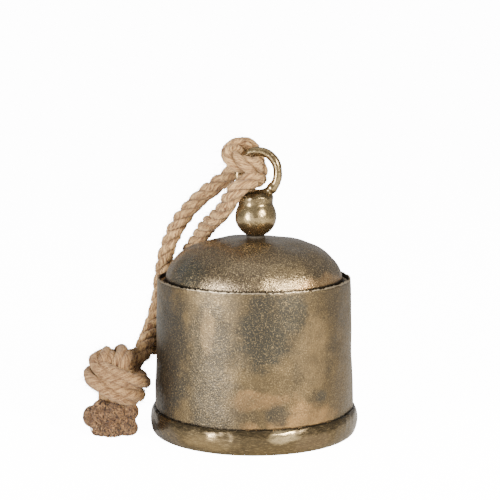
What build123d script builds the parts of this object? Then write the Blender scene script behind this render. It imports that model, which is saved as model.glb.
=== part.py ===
from build123d import *
import math
import os

# Yard dinner bell: a rolled sheet wall with a dished crown and a half-round mouth bead,
# hung from a ball and ring by a knotted jute rope, with a ball clapper on a chain link inside.
# Millimetres. +Z is up, the origin is the centre of the mouth, and the ring faces -Y.

# ---- bell body -------------------------------------------------------------------------
SHEET = 1.6                 # thickness of the wall and crown sheet
RIM_RADIUS = 78.0           # outside of the wall at its top edge
WALL_FLARE = 3.1            # the wall is this much wider, in radius, at the mouth
WALL_HEIGHT = 125.2
SEAM_WIDTH = 1.6            # brazed butt seam down the back of the wall
RIM_WEAR = 0.5              # rounding of the top edge

BEAD_HEIGHT = 19.8          # half-round hoop round the mouth
BEAD_BULGE = 3.4            # how far the hoop stands out from the wall
BEAD_LAND = 0.85            # flat ground under the hoop

GROOVE_DEPTH = 5.0          # the crown's flange lies this far below the rim
FLANGE_WIDTH = 4.87         # flat flange round the dish
CROWN_RISE = 36.9           # from the flange to the top of the dish
CROWN_FLATNESS = 2.69       # exponents of the dish: over 2 is flatter and squarer than round
CROWN_SHOULDER = 2.11
CROWN_STATIONS = 9          # points that carry the dish's curve
FLANGE_FIT = 0.05           # radial clearance of the flange inside the wall
BRAZE_LEG = 2.2             # leg of the brazed fillet between flange and wall

# ---- hanger ----------------------------------------------------------------------------
FINIAL_X = 1.4              # the crown hole is drilled this far off centre
BALL_RADIUS = 16.7
BALL_SEAT_RADIUS = 6.0      # flat on the underside of the ball
SEAT_WASHER_RADIUS = 7.5
SEAT_WASHER_THICK = 1.6
NECK_RADIUS = 11.8
NECK_HEIGHT = 3.8           # above where the neck leaves the ball
NECK_ROOT_ROUND = 3.0
NECK_TOP_ROUND = 2.5
EDGE_REACH = 0.1            # an edge is found within this of its height

RING_ROD = 7.5              # diameter of the ring's rod
RING_BEND = 15.9            # radius of the rod's centreline at both ends of the ring
RING_STRETCH = 2.4          # the ring is this much taller than it is wide
RING_SINK = 1.45            # how far the rod is let into the neck
RING_SET_OVER = 1.9         # the ring leans this far to the right of the ball
RING_TURN = 12.0            # degrees that the ring is turned about the vertical

# ---- crown fixing ----------------------------------------------------------------------
STUD_RADIUS = 4.0
STUD_IN_BALL = 13.0
STUD_CHAMFER = 0.6
STUD_HOLE_FIT = 0.25        # radial clearance of the stud in the crown
THREAD_FIT = 0.05           # radial clearance of threads, which are modelled plain
CROWN_WASHER_RADIUS = 12.0
CROWN_WASHER_THICK = 1.6
SPRING_WASHER_RADIUS = 7.0
SPRING_WASHER_THICK = 2.0
SPRING_WASHER_SLIT = 1.2
NUT_ACROSS_FLATS = 13.0
NUT_HEIGHT = 6.5
NUT_CHAMFER = 0.8

# ---- clapper ---------------------------------------------------------------------------
EYE_BOSS_RADIUS = 7.0
EYE_BOSS_HEIGHT = 9.0
EYE_THREAD_DEPTH = 7.0
EYE_WIRE = 4.5
EYE_BEND = 7.25             # centreline radius of the eye under the boss
EYE_SINK = 2.6              # how far the eye runs up into the boss
LINK_WIRE = 3.5
LINK_INNER_WIDTH = 8.0
LINK_INNER_LENGTH = 18.0
HANG_GAP = 0.1              # gap where one ring rests in another
ROD_RADIUS = 2.0
ROD_LOOP_BEND = 6.5         # centreline radius of the loop at the top of the rod
CLAPPER_RADIUS = 15.0
CLAPPER_HEIGHT = 24.6       # middle of the ball above the mouth
CLAPPER_FLAT = 4.5          # radius of the flats above and below the ball
CLAPPER_FIT = 0.05
COLLAR_RADIUS = 4.2
COLLAR_HEIGHT = 6.0
TIP_WASHER_RADIUS = 6.0
TIP_WASHER_THICK = 1.2
TIP_NUT_FLATS = 7.0
TIP_NUT_HEIGHT = 3.2
ROD_TIP = 1.8               # thread left showing under the nut

# ---- rope ------------------------------------------------------------------------------
RUN_SHARE = 0.45            # share of the shorter run that an arc takes up
ROPE = 14.0                 # diameter of the jute rope
ROPE_TIGHT = 12.6           # diameter where the rope is squeezed into the ring
# Round turn on the ring, as seen from the front of the ring: across, out towards the front, up.
HITCH_ROUTE = [
    (-22.7, 6.9, -24.0),
    (-15.0, 15.2, -14.0),
    (-2.1, 11.7, -6.2),
    (-3.2, -22.5, -6.8),
    (-5.6, -24.3, 12.5),
    (-11.5, -13.5, 25.1),
    (-23.0, 2.0, 22.5),
    (-24.0, 14.5, 13.5),
    (-2.3, 11.7, 6.4),
    (-2.3, -10.6, 6.6),
    (-17.0, -11.8, 4.0),
    (-28.0, -13.0, -4.5),
]
# The outer leg leaves the back of the ring, the inner leg leaves the front; both fall behind
# the bell's left side and come forward to the knot. Each starts where the round turn ends.
OUTER_LEG_ROUTE = [
    (-31.93, 22.01, 196.27),
    (-49.5, 32.0, 181.5),
    (-62.5, 41.0, 164.5),
    (-72.5, 48.0, 144.0),
    (-77.5, 52.0, 120.5),
    (-76.5, 48.5, 96.0),
    (-79.0, 38.0, 77.5),
    (-86.0, 21.0, 65.5),
    (-92.5, 6.0, 57.5),
]
INNER_LEG_ROUTE = [
    (-26.1, 7.62, 175.37),
    (-35.0, 22.0, 167.5),
    (-44.5, 43.0, 153.0),
    (-55.0, 62.0, 136.0),
    (-65.5, 71.0, 119.0),
    (-75.0, 71.0, 103.0),
    (-82.5, 63.5, 87.0),
    (-90.0, 47.0, 73.0),
    (-98.0, 29.0, 61.5),
    (-105.0, 15.0, 56.0),
]
KNOT_CENTRE = (-109.7, -10.0, 47.5)
KNOT_RADIUS = 26.0
KNOT_HALF_LENGTH = 24.0
KNOT_LEAN = 35.0            # degrees that the knot's core leans to the right at its top
END_TOP_RADIUS = 7.0
END_FOOT_RADIUS = 11.4
END_TOP_HEIGHT = 27.0
END_SPREAD_TOP = 8.2        # half the distance between the two rope ends at the knot
END_SPREAD_FOOT = 11.9      # and on the ground
END_SHIFT = 0.6             # the ends stand this far left of the knot's centre
END_CLEAR = 0.3             # the fibres stop this far above the ground

# ---- worked out from the sizes above ---------------------------------------------------
FOOT_RADIUS = RIM_RADIUS + WALL_FLARE
FLANGE_TOP = WALL_HEIGHT - GROOVE_DEPTH
CROWN_TOP = FLANGE_TOP + CROWN_RISE
BALL_BOTTOM = CROWN_TOP + SEAT_WASHER_THICK
BALL_CENTRE = BALL_BOTTOM + math.sqrt(BALL_RADIUS**2 - BALL_SEAT_RADIUS**2)
NECK_ROOT = BALL_CENTRE + math.sqrt(BALL_RADIUS**2 - NECK_RADIUS**2)
NECK_TOP = NECK_ROOT + NECK_HEIGHT
RING_X = FINIAL_X + RING_SET_OVER
RING_CENTRE = NECK_TOP - RING_SINK + RING_ROD / 2 + RING_BEND + RING_STRETCH / 2


def wall_outside(height):
    """Radius of the wall's outside at a height: the wall tapers evenly to the rim."""
    return FOOT_RADIUS + (RIM_RADIUS - FOOT_RADIUS) * height / WALL_HEIGHT


def wall_inside(height):
    """Radius of the wall's inside at a height."""
    return wall_outside(height) - SHEET


FLANGE_RADIUS = wall_inside(FLANGE_TOP) - FLANGE_FIT
CROWN_RADIUS = FLANGE_RADIUS - FLANGE_WIDTH


def dish_height(base_radius, base_height, radius):
    """Height of a dish of that base at a radius: a flattened, square-shouldered dome."""
    share = 1 - (radius / base_radius) ** CROWN_FLATNESS
    return base_height + CROWN_RISE * max(share, 0.0) ** (1 / CROWN_SHOULDER)


def dish_curve(base_radius, base_height):
    """Curve of the dish from its top, on the axis, to its base."""
    points = []
    for station in range(CROWN_STATIONS):
        turn = math.pi / 2 * station / (CROWN_STATIONS - 1)
        radius = base_radius * math.sin(turn) ** (2 / CROWN_FLATNESS)
        points.append((radius, dish_height(base_radius, base_height, radius)))
    return Spline(points, tangents=((1, 0), (0, -1)))


CROWN_WASHER_TOP = dish_height(
    CROWN_RADIUS - SHEET, FLANGE_TOP - SHEET, CROWN_WASHER_RADIUS + FINIAL_X
)
SPRING_WASHER_TOP = CROWN_WASHER_TOP - CROWN_WASHER_THICK
NUT_TOP = SPRING_WASHER_TOP - SPRING_WASHER_THICK
EYE_BOSS_TOP = NUT_TOP - NUT_HEIGHT
EYE_CENTRE = EYE_BOSS_TOP - EYE_BOSS_HEIGHT + EYE_SINK - EYE_WIRE / 2 - EYE_BEND
LINK_PIVOT = EYE_CENTRE - EYE_BEND
LINK_TOP = LINK_PIVOT + EYE_WIRE / 2 + LINK_WIRE / 2 + HANG_GAP
CLAPPER_PIVOT = LINK_TOP - LINK_INNER_LENGTH - LINK_WIRE
ROD_LOOP_TOP = CLAPPER_PIVOT + LINK_WIRE / 2 + ROD_RADIUS + HANG_GAP
ROD_LOOP_CENTRE = ROD_LOOP_TOP - ROD_LOOP_BEND
CLAPPER_HALF = math.sqrt(CLAPPER_RADIUS**2 - CLAPPER_FLAT**2)
TIP_WASHER_TOP = CLAPPER_HEIGHT - CLAPPER_HALF
TIP_NUT_TOP = TIP_WASHER_TOP - TIP_WASHER_THICK
ROD_BOTTOM = TIP_NUT_TOP - TIP_NUT_HEIGHT - ROD_TIP


def on_finial(height):
    """Place on the finial's axis at a height."""
    return Pos(FINIAL_X, 0, height)


def standing_rod(radius, bottom, top):
    """Round rod on the finial's axis between two heights."""
    return on_finial(bottom) * extrude(Circle(radius), top - bottom)


def hexagon_rod(across_flats, bottom, top):
    """Hexagonal rod on the finial's axis between two heights."""
    section = RegularPolygon(across_flats / 2, 6, major_radius=False)
    return on_finial(bottom) * extrude(section, top - bottom)


def turned(outline):
    """Solid turned about the bell's axis from a closed outline of (radius, height) points."""
    return revolve(make_face(Plane.XZ * Polyline(outline, close=True)), Axis.Z)


def long_ring(plane, bend, stretch, wire):
    """Closed ring of round rod: two half turns joined by two straights along the plane's y."""
    with BuildLine(plane) as centreline:
        right = Line((bend, -stretch / 2), (bend, stretch / 2))
        over = CenterArc((0, stretch / 2), bend, 0, 180)
        Line((-bend, stretch / 2), (-bend, -stretch / 2))
        CenterArc((0, -stretch / 2), bend, 180, 180)
    start = Plane(origin=right @ 0, z_dir=right % 0)
    return sweep(start * Circle(wire / 2), path=centreline.wire())


# ---- bell body -------------------------------------------------------------------------
def seam_slot():
    """Space between the edges of the rolled wall sheet, at the back."""
    depth = FOOT_RADIUS
    return Pos(0, depth / 2 + SHEET, WALL_HEIGHT / 2) * Box(SEAM_WIDTH, depth, WALL_HEIGHT)


def wall_band():
    """The wall as an unbroken tapered band."""
    band = turned([
        (wall_inside(0), 0),
        (wall_outside(0), 0),
        (wall_outside(WALL_HEIGHT), WALL_HEIGHT),
        (wall_inside(WALL_HEIGHT), WALL_HEIGHT),
    ])
    return fillet(band.edges().group_by(Axis.Z)[-1], RIM_WEAR)


def wall_shell():
    """Rolled sheet wall, open down the back where its two edges meet."""
    return wall_band() - seam_slot()


def wall_seam():
    """Braze that fills the seam, filed flush on both sides."""
    return wall_band() & seam_slot()


def crown_dome():
    """Pressed crown: a dish with a flat flange that seats inside the wall."""
    flange_bottom = FLANGE_TOP - SHEET
    inner_radius = CROWN_RADIUS - SHEET
    bottom_edge = wall_inside(flange_bottom) - FLANGE_FIT
    with BuildSketch(Plane.XZ) as section:
        with BuildLine():
            outside = dish_curve(CROWN_RADIUS, FLANGE_TOP)
            inside = dish_curve(inner_radius, flange_bottom)
            Polyline(outside @ 1, (FLANGE_RADIUS, FLANGE_TOP), (bottom_edge, flange_bottom), inside @ 1)
            Line(outside @ 0, inside @ 0)
        make_face()
    dome = revolve(section.sketch, Axis.Z)
    hole = standing_rod(STUD_RADIUS + STUD_HOLE_FIT, FLANGE_TOP, CROWN_TOP + SHEET)
    return dome - hole


def crown_braze():
    """Hollow-faced fillet of braze in the corner between the flange and the wall."""
    top = FLANGE_TOP + BRAZE_LEG
    corner = (wall_inside(FLANGE_TOP), FLANGE_TOP)
    toe = (corner[0] - BRAZE_LEG, FLANGE_TOP)
    head = (wall_inside(top), top)
    with BuildSketch(Plane.XZ) as section:
        with BuildLine():
            Polyline(toe, corner, head)
            ThreePointArc(head, (corner[0] - BRAZE_LEG / 3, FLANGE_TOP + BRAZE_LEG / 3), toe)
        make_face()
    return revolve(section.sketch, Axis.Z)


def mouth_bead():
    """Half-round hoop round the foot of the wall, ground flat underneath."""
    reach = BEAD_LAND / BEAD_BULGE
    tall = BEAD_HEIGHT / (1 + math.sqrt(1 - reach**2))
    middle = BEAD_HEIGHT - tall
    low = math.degrees(math.asin(-middle / tall))
    with BuildSketch(Plane.XZ) as section:
        with BuildLine():
            edge = EllipticalCenterArc(
                (FOOT_RADIUS, middle), BEAD_BULGE, tall, start_angle=low, arc_size=90 - low
            )
            Polyline(edge @ 0, (FOOT_RADIUS, 0), (wall_outside(BEAD_HEIGHT), BEAD_HEIGHT), edge @ 1)
        make_face()
    return revolve(section.sketch, Axis.Z)


# ---- hanger ----------------------------------------------------------------------------
def ring_plane():
    """Upright plane of the hanging ring: its x runs to the right, its y runs up."""
    turn = math.radians(RING_TURN)
    across = (math.cos(turn), -math.sin(turn), 0)
    towards_front = (-math.sin(turn), -math.cos(turn), 0)
    return Plane(origin=(RING_X, 0, RING_CENTRE), x_dir=across, z_dir=towards_front)


def hanger_ring():
    """Slightly long ring of round rod, brazed upright into the neck."""
    return long_ring(ring_plane(), RING_BEND, RING_STRETCH, RING_ROD)


def hanger_ball():
    """Cast ball with a flat seat, a tapped hole and a necked saddle for the ring."""
    ball = on_finial(BALL_CENTRE) * Sphere(BALL_RADIUS)
    neck = standing_rod(NECK_RADIUS, BALL_CENTRE, NECK_TOP)
    neck = fillet(neck.edges().group_by(Axis.Z)[-1], NECK_TOP_ROUND)
    casting = ball + neck
    root = casting.edges().filter_by_position(Axis.Z, NECK_ROOT - EDGE_REACH, NECK_ROOT + EDGE_REACH)
    casting = fillet(root, NECK_ROOT_ROUND)
    below_seat = on_finial(BALL_BOTTOM - BALL_RADIUS / 2) * Box(
        2 * BALL_RADIUS, 2 * BALL_RADIUS, BALL_RADIUS
    )
    stud_hole = standing_rod(
        STUD_RADIUS + THREAD_FIT, BALL_BOTTOM, BALL_BOTTOM + STUD_IN_BALL + STUD_CHAMFER
    )
    return casting - below_seat - stud_hole - hanger_ring()


def hanger_stud():
    """Threaded stud from the ball through the crown to the clapper eye."""
    stud = standing_rod(
        STUD_RADIUS, EYE_BOSS_TOP - EYE_THREAD_DEPTH + STUD_CHAMFER, BALL_BOTTOM + STUD_IN_BALL
    )
    return chamfer(stud.edges().filter_by(GeomType.CIRCLE), STUD_CHAMFER)


def seat_washer():
    """Soft washer that beds the ball on the crown."""
    washer = standing_rod(SEAT_WASHER_RADIUS, CROWN_TOP, CROWN_TOP + SEAT_WASHER_THICK)
    hole = standing_rod(STUD_RADIUS + STUD_HOLE_FIT, CROWN_TOP, BALL_CENTRE)
    return washer - hole


def crown_washer():
    """Broad washer that spreads the stud's pull inside the crown."""
    bottom = CROWN_WASHER_TOP - CROWN_WASHER_THICK
    washer = standing_rod(CROWN_WASHER_RADIUS, bottom, CROWN_WASHER_TOP)
    return washer - standing_rod(STUD_RADIUS + STUD_HOLE_FIT, bottom, CROWN_TOP)


def spring_washer():
    """Split washer that keeps the nut from working loose."""
    bottom = SPRING_WASHER_TOP - SPRING_WASHER_THICK
    washer = standing_rod(SPRING_WASHER_RADIUS, bottom, SPRING_WASHER_TOP)
    washer -= standing_rod(STUD_RADIUS + STUD_HOLE_FIT, bottom, CROWN_TOP)
    middle = (bottom + SPRING_WASHER_TOP) / 2
    slit = Pos(FINIAL_X + SPRING_WASHER_RADIUS, 0, middle) * Box(
        2 * SPRING_WASHER_RADIUS - STUD_RADIUS, SPRING_WASHER_SLIT, SPRING_WASHER_THICK
    )
    return washer - slit


def crown_nut():
    """Hexagon nut that pulls the ball down on the crown."""
    nut = hexagon_rod(NUT_ACROSS_FLATS, NUT_TOP - NUT_HEIGHT, NUT_TOP)
    rounded = standing_rod(NUT_ACROSS_FLATS / math.sqrt(3), NUT_TOP - NUT_HEIGHT, NUT_TOP)
    rounded = chamfer(rounded.edges().filter_by(GeomType.CIRCLE), NUT_CHAMFER)
    return (nut & rounded) - standing_rod(STUD_RADIUS + THREAD_FIT, CLAPPER_PIVOT, CROWN_TOP)


# ---- clapper ---------------------------------------------------------------------------
def finial_plane(height, x_dir, z_dir):
    """Upright plane through the finial's axis at a height."""
    return Plane(origin=(FINIAL_X, 0, height), x_dir=x_dir, z_dir=z_dir)


def clapper_eye():
    """Eye nut on the end of the stud: a round boss with a ring below it."""
    boss = standing_rod(EYE_BOSS_RADIUS, EYE_BOSS_TOP - EYE_BOSS_HEIGHT, EYE_BOSS_TOP)
    boss = chamfer(boss.edges().filter_by(GeomType.CIRCLE), NUT_CHAMFER)
    thread = standing_rod(
        STUD_RADIUS + THREAD_FIT, EYE_BOSS_TOP - EYE_THREAD_DEPTH, EYE_BOSS_TOP
    )
    eye = on_finial(EYE_CENTRE) * Rot(90, 0, 0) * Torus(EYE_BEND, EYE_WIRE / 2)
    return boss + eye - thread


def clapper_link():
    """Closed oval link that hangs in the eye and carries the clapper."""
    bend = (LINK_INNER_WIDTH + LINK_WIRE) / 2
    stretch = LINK_INNER_LENGTH - LINK_INNER_WIDTH
    middle = LINK_TOP - (LINK_INNER_LENGTH + LINK_WIRE) / 2
    return long_ring(finial_plane(middle, (0, 1, 0), (1, 0, 0)), bend, stretch, LINK_WIRE)


def clapper_rod():
    """Rod with a closed loop at its top and a thread at its foot."""
    loop = on_finial(ROD_LOOP_CENTRE) * Rot(90, 0, 0) * Torus(ROD_LOOP_BEND, ROD_RADIUS)
    return loop + standing_rod(ROD_RADIUS, ROD_BOTTOM, ROD_LOOP_CENTRE - ROD_LOOP_BEND)


def clapper_bore(bottom, top):
    """Hole for the rod through a piece that is threaded over it."""
    return standing_rod(ROD_RADIUS + CLAPPER_FIT, bottom, top)


def clapper_ball():
    """Striking ball, bored for the rod and filed flat above and below."""
    ball = on_finial(CLAPPER_HEIGHT) * Sphere(CLAPPER_RADIUS)
    bottom = CLAPPER_HEIGHT - CLAPPER_HALF
    top = CLAPPER_HEIGHT + CLAPPER_HALF
    return (ball & standing_rod(CLAPPER_RADIUS, bottom, top)) - clapper_bore(bottom, top)


def clapper_collar():
    """Crimped collar that stops the ball from riding up the rod."""
    bottom = CLAPPER_HEIGHT + CLAPPER_HALF
    top = bottom + COLLAR_HEIGHT
    collar = standing_rod(COLLAR_RADIUS, bottom, top)
    collar = fillet(collar.edges().group_by(Axis.Z)[-1], COLLAR_RADIUS / 4)
    return collar - clapper_bore(bottom, top)


def clapper_washer():
    """Washer under the ball."""
    washer = standing_rod(TIP_WASHER_RADIUS, TIP_NUT_TOP, TIP_WASHER_TOP)
    return washer - clapper_bore(TIP_NUT_TOP, TIP_WASHER_TOP)


def clapper_nut():
    """Small hexagon nut that holds the ball on the rod."""
    nut = hexagon_rod(TIP_NUT_FLATS, TIP_NUT_TOP - TIP_NUT_HEIGHT, TIP_NUT_TOP)
    return nut - clapper_bore(TIP_NUT_TOP - TIP_NUT_HEIGHT, TIP_NUT_TOP)


# ---- rope ------------------------------------------------------------------------------
def on_ring(point):
    """Point given across, out and up from the ring's centre, in the bell's own axes."""
    across, out, up = point
    return ring_plane().from_local_coords(Vector(across, up, out))


def bend_radii(points):
    """Radius of the arc at each corner: as large as its two runs allow."""
    radii = []
    for before, corner, after in zip(points, points[1:], points[2:]):
        arriving = corner - before
        leaving = after - corner
        half_turn = math.radians(arriving.get_angle(leaving)) / 2
        radii.append(RUN_SHARE * min(arriving.length, leaving.length) / math.tan(half_turn))
    return radii


def rope_tube(name, points, diameter):
    """Round rope along straight runs joined by tangent arcs."""
    radii = bend_radii(points)
    path = FilletPolyline(points, radius=radii)
    tube = sweep(Plane(origin=path @ 0, z_dir=path % 0) * Circle(diameter / 2), path=path)
    expected = math.pi * (diameter / 2) ** 2 * path.length
    print(name, "radii", [round(radius, 1) for radius in radii], "length", round(path.length, 1),
          "volume share", round(tube.volume / expected, 4))
    return tube


def hitch_points():
    """The round turn's points in the bell's own axes."""
    return [on_ring(point) for point in HITCH_ROUTE]


def rope_hitch():
    """The rope's round turn, squeezed into the ring."""
    return rope_tube("rope_hitch", hitch_points(), ROPE_TIGHT)


def rope_leg_outer():
    """Leg that leaves the back of the ring and falls furthest out."""
    points = [hitch_points()[-1]] + [Vector(*point) for point in OUTER_LEG_ROUTE]
    return rope_tube("rope_leg_outer", points, ROPE) - rope_knot()


def rope_leg_inner():
    """Leg that leaves the front of the ring and falls behind the crown."""
    points = [hitch_points()[0]] + [Vector(*point) for point in INNER_LEG_ROUTE]
    return rope_tube("rope_leg_inner", points, ROPE) - rope_knot()


def rope_knot():
    """Outer shape of the knot that ties both legs together."""
    shape = scale(Sphere(1), by=(KNOT_RADIUS, KNOT_RADIUS, KNOT_HALF_LENGTH))
    return Pos(*KNOT_CENTRE) * Rot(0, KNOT_LEAN, 0) * shape


def rope_end(side):
    """Frayed end of the rope below the knot, side -1 on the left and 1 on the right."""
    x, y, _ = KNOT_CENTRE
    x -= END_SHIFT
    top = Pos(x + side * END_SPREAD_TOP, y, END_TOP_HEIGHT) * Circle(END_TOP_RADIUS)
    foot = Pos(x + side * END_SPREAD_FOOT, y, END_CLEAR) * Circle(END_FOOT_RADIUS)
    return loft([foot, top])


def rope_end_left():
    """Frayed end of the inner leg."""
    return rope_end(-1) - rope_knot()


def rope_end_right():
    """Frayed end of the outer leg."""
    return rope_end(1) - rope_knot()


PIECES = [
    wall_shell, wall_seam, crown_dome, crown_braze, mouth_bead,
    hanger_ball, hanger_ring, hanger_stud, seat_washer,
    crown_washer, spring_washer, crown_nut,
    clapper_eye, clapper_link, clapper_rod, clapper_ball,
    clapper_collar, clapper_washer, clapper_nut,
    rope_hitch, rope_leg_outer, rope_leg_inner, rope_knot, rope_end_left, rope_end_right,
]

os.makedirs("parts", exist_ok=True)
for piece in PIECES:
    export_step(piece(), f"parts/{piece.__name__}.step")
print("link pivot", FINIAL_X, 0, round(LINK_PIVOT, 3))
print("clapper pivot", FINIAL_X, 0, round(CLAPPER_PIVOT, 3))
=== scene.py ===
import logging
import math
from dataclasses import dataclass
from enum import Enum

import bpy
import numpy as np
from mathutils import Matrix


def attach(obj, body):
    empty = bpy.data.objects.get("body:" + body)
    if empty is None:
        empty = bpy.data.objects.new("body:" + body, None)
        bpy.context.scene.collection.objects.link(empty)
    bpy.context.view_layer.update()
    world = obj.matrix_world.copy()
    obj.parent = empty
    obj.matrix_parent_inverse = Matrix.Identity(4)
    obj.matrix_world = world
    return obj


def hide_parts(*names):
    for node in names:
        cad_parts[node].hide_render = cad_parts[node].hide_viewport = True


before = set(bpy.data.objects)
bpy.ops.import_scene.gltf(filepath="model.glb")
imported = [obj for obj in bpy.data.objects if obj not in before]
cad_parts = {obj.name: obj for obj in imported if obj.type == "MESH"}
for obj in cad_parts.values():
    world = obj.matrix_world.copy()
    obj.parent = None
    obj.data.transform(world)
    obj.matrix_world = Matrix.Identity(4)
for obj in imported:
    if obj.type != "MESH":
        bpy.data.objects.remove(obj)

# Yard dinner bell: aged brass body, ball and ring, laid jute rope with a knot, and an iron clapper.
# Metres. +Z is up, the origin is the centre of the mouth, and the ring faces -Y.

LOG = logging.getLogger("dinner_bell")
MM = 0.001
TURN = 2 * math.pi
TINY = 1e-9
MIX_FACTOR, MIX_A, MIX_B, MIX_RESULT = 0, 6, 7, 2       # sockets of the node that mixes colours

Piece = bpy.types.Object
Socket = bpy.types.NodeSocket
Triple = tuple[float, float, float]
Pair = tuple[float, float]


class Body(Enum):
    """Rigid bodies that new pieces ride on; the link and clapper keep their plain pieces."""

    BELL = "bell"


# ---- shapes ----------------------------------------------------------------------------
@dataclass(frozen=True)
class Ripple:
    """Smooth seeded unevenness: a sum of cosine waves of about one size, in random directions."""

    size: float
    height: float
    seed: int
    waves: int = 14
    spread: float = 0.35

    def at(self, points: np.ndarray) -> np.ndarray:
        """Height of the unevenness.

        Args:
            points: places in millimetres, one per row.

        Returns:
            One height in millimetres per row: the mean of cos(k.p + phase), scaled.
        """
        dice = np.random.default_rng(self.seed)
        ways = dice.normal(size=(points.shape[-1], self.waves))
        ways /= np.linalg.norm(ways, axis=0)
        ways *= TURN / (self.size * np.exp(dice.normal(0, self.spread, self.waves)))
        phases = dice.uniform(0, TURN, self.waves)
        swell = np.cos(points @ ways + phases).sum(axis=-1)
        return self.height * swell / math.sqrt(self.waves / 2)


def grid_faces(rows: int, columns: int, wrap_rows: bool = False) -> np.ndarray:
    """Quads of a grid that is closed along its columns.

    Args:
        rows: number of rows of points.
        columns: points in each row, the last joined to the first.
        wrap_rows: whether the last row is also joined to the first.

    Returns:
        Four point numbers per quad.
    """
    row = np.arange(rows if wrap_rows else rows - 1)[:, None]
    column = np.arange(columns)[None, :]
    above = (row + 1) % rows
    beside = (column + 1) % columns
    corners = [
        row * columns + column,
        row * columns + beside,
        above * columns + beside,
        above * columns + column,
    ]
    return np.stack([np.broadcast_to(c, (row.size, columns)).ravel() for c in corners], axis=1)


def make_piece(name: str, points_mm: np.ndarray, faces: list, smooth: bool = True) -> Piece:
    """Mesh object at the origin.

    Args:
        name: the piece's name.
        points_mm: places in millimetres, one per row.
        faces: lists of point numbers.
        smooth: whether the faces are shaded as one curved surface.

    Returns:
        The new object, with its faces turned outward.
    """
    mesh = bpy.data.meshes.new(name)
    mesh.from_pydata(points_mm * MM, [], faces)
    mesh.polygons.foreach_set("use_smooth", np.full(len(mesh.polygons), smooth))
    mesh.update()
    piece = bpy.data.objects.new(name, mesh)
    bpy.context.scene.collection.objects.link(piece)
    face_outward(mesh)
    return piece


def face_outward(mesh: bpy.types.Mesh) -> None:
    """Turn a closed mesh's faces so that its volume is positive.

    Args:
        mesh: a mesh whose faces already agree with each other.
    """
    mesh.calc_loop_triangles()
    corners = np.empty(len(mesh.loop_triangles) * 3, np.int32)
    mesh.loop_triangles.foreach_get("vertices", corners)
    places = np.empty(len(mesh.vertices) * 3)
    mesh.vertices.foreach_get("co", places)
    a, b, c = places.reshape(-1, 3)[corners.reshape(-1, 3)].transpose(1, 0, 2)
    if np.einsum("ij,ij->", a, np.cross(b, c)) < 0:
        mesh.flip_normals()


def turned_piece(name: str, outline: np.ndarray, columns: int, poles: bool = False) -> Piece:
    """Solid of revolution about the bell's axis.

    Args:
        name: the piece's name.
        outline: (radius, height) in millimetres; it closes on itself, or starts and ends on the axis.
        columns: points round the axis.
        poles: whether the outline starts and ends on the axis.

    Returns:
        The new object.
    """
    body = outline[1:-1] if poles else outline
    angle = TURN * np.arange(columns) / columns
    round_axis = np.stack([np.cos(angle), np.sin(angle)], axis=1)
    flat = body[:, None, :1] * round_axis[None]
    height = np.broadcast_to(body[:, None, 1:], (len(body), columns, 1))
    points = np.concatenate([flat, height], axis=2).reshape(-1, 3)
    faces = grid_faces(len(body), columns, wrap_rows=not poles).tolist()
    if poles:
        ends = np.array([[0, 0, outline[0, 1]], [0, 0, outline[-1, 1]]])
        first = len(points)
        column = np.arange(columns)
        beside = (column + 1) % columns
        last_row = (len(body) - 1) * columns
        top = np.stack([np.full(columns, first), beside, column], axis=1)
        foot = np.stack([np.full(columns, first + 1), last_row + column, last_row + beside], axis=1)
        faces += top.tolist() + foot.tolist()
        points = np.concatenate([points, ends])
    return make_piece(name, points, faces)


def points_of(piece: Piece) -> np.ndarray:
    """Places of a piece's points.

    Args:
        piece: a mesh object at the origin.

    Returns:
        Places in millimetres, one per row.
    """
    places = np.empty(len(piece.data.vertices) * 3)
    piece.data.vertices.foreach_get("co", places)
    return places.reshape(-1, 3) / MM


def normals_of(piece: Piece) -> np.ndarray:
    """Outward directions at a piece's points.

    Args:
        piece: a mesh object at the origin.

    Returns:
        Unit directions, one per row.
    """
    ways = np.empty(len(piece.data.vertices) * 3)
    piece.data.vertex_normals.foreach_get("vector", ways)
    return ways.reshape(-1, 3)


def move_points(piece: Piece, points_mm: np.ndarray) -> None:
    """Put a piece's points in new places.

    Args:
        piece: a mesh object at the origin.
        points_mm: places in millimetres, one per row.
    """
    piece.data.vertices.foreach_set("co", (points_mm * MM).ravel())
    piece.data.update()


def evaluated_mesh(piece: Piece) -> bpy.types.Mesh:
    """Mesh of an object with its modifiers or curve worked out.

    Args:
        piece: an object in the scene.

    Returns:
        A new mesh.
    """
    bpy.context.view_layer.update()
    return bpy.data.meshes.new_from_object(piece.evaluated_get(bpy.context.evaluated_depsgraph_get()))


def unit(ways: np.ndarray) -> np.ndarray:
    """Directions of length one.

    Args:
        ways: directions along the last axis.

    Returns:
        The same directions, scaled.
    """
    return ways / np.maximum(np.linalg.norm(ways, axis=-1, keepdims=True), TINY)


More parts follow.
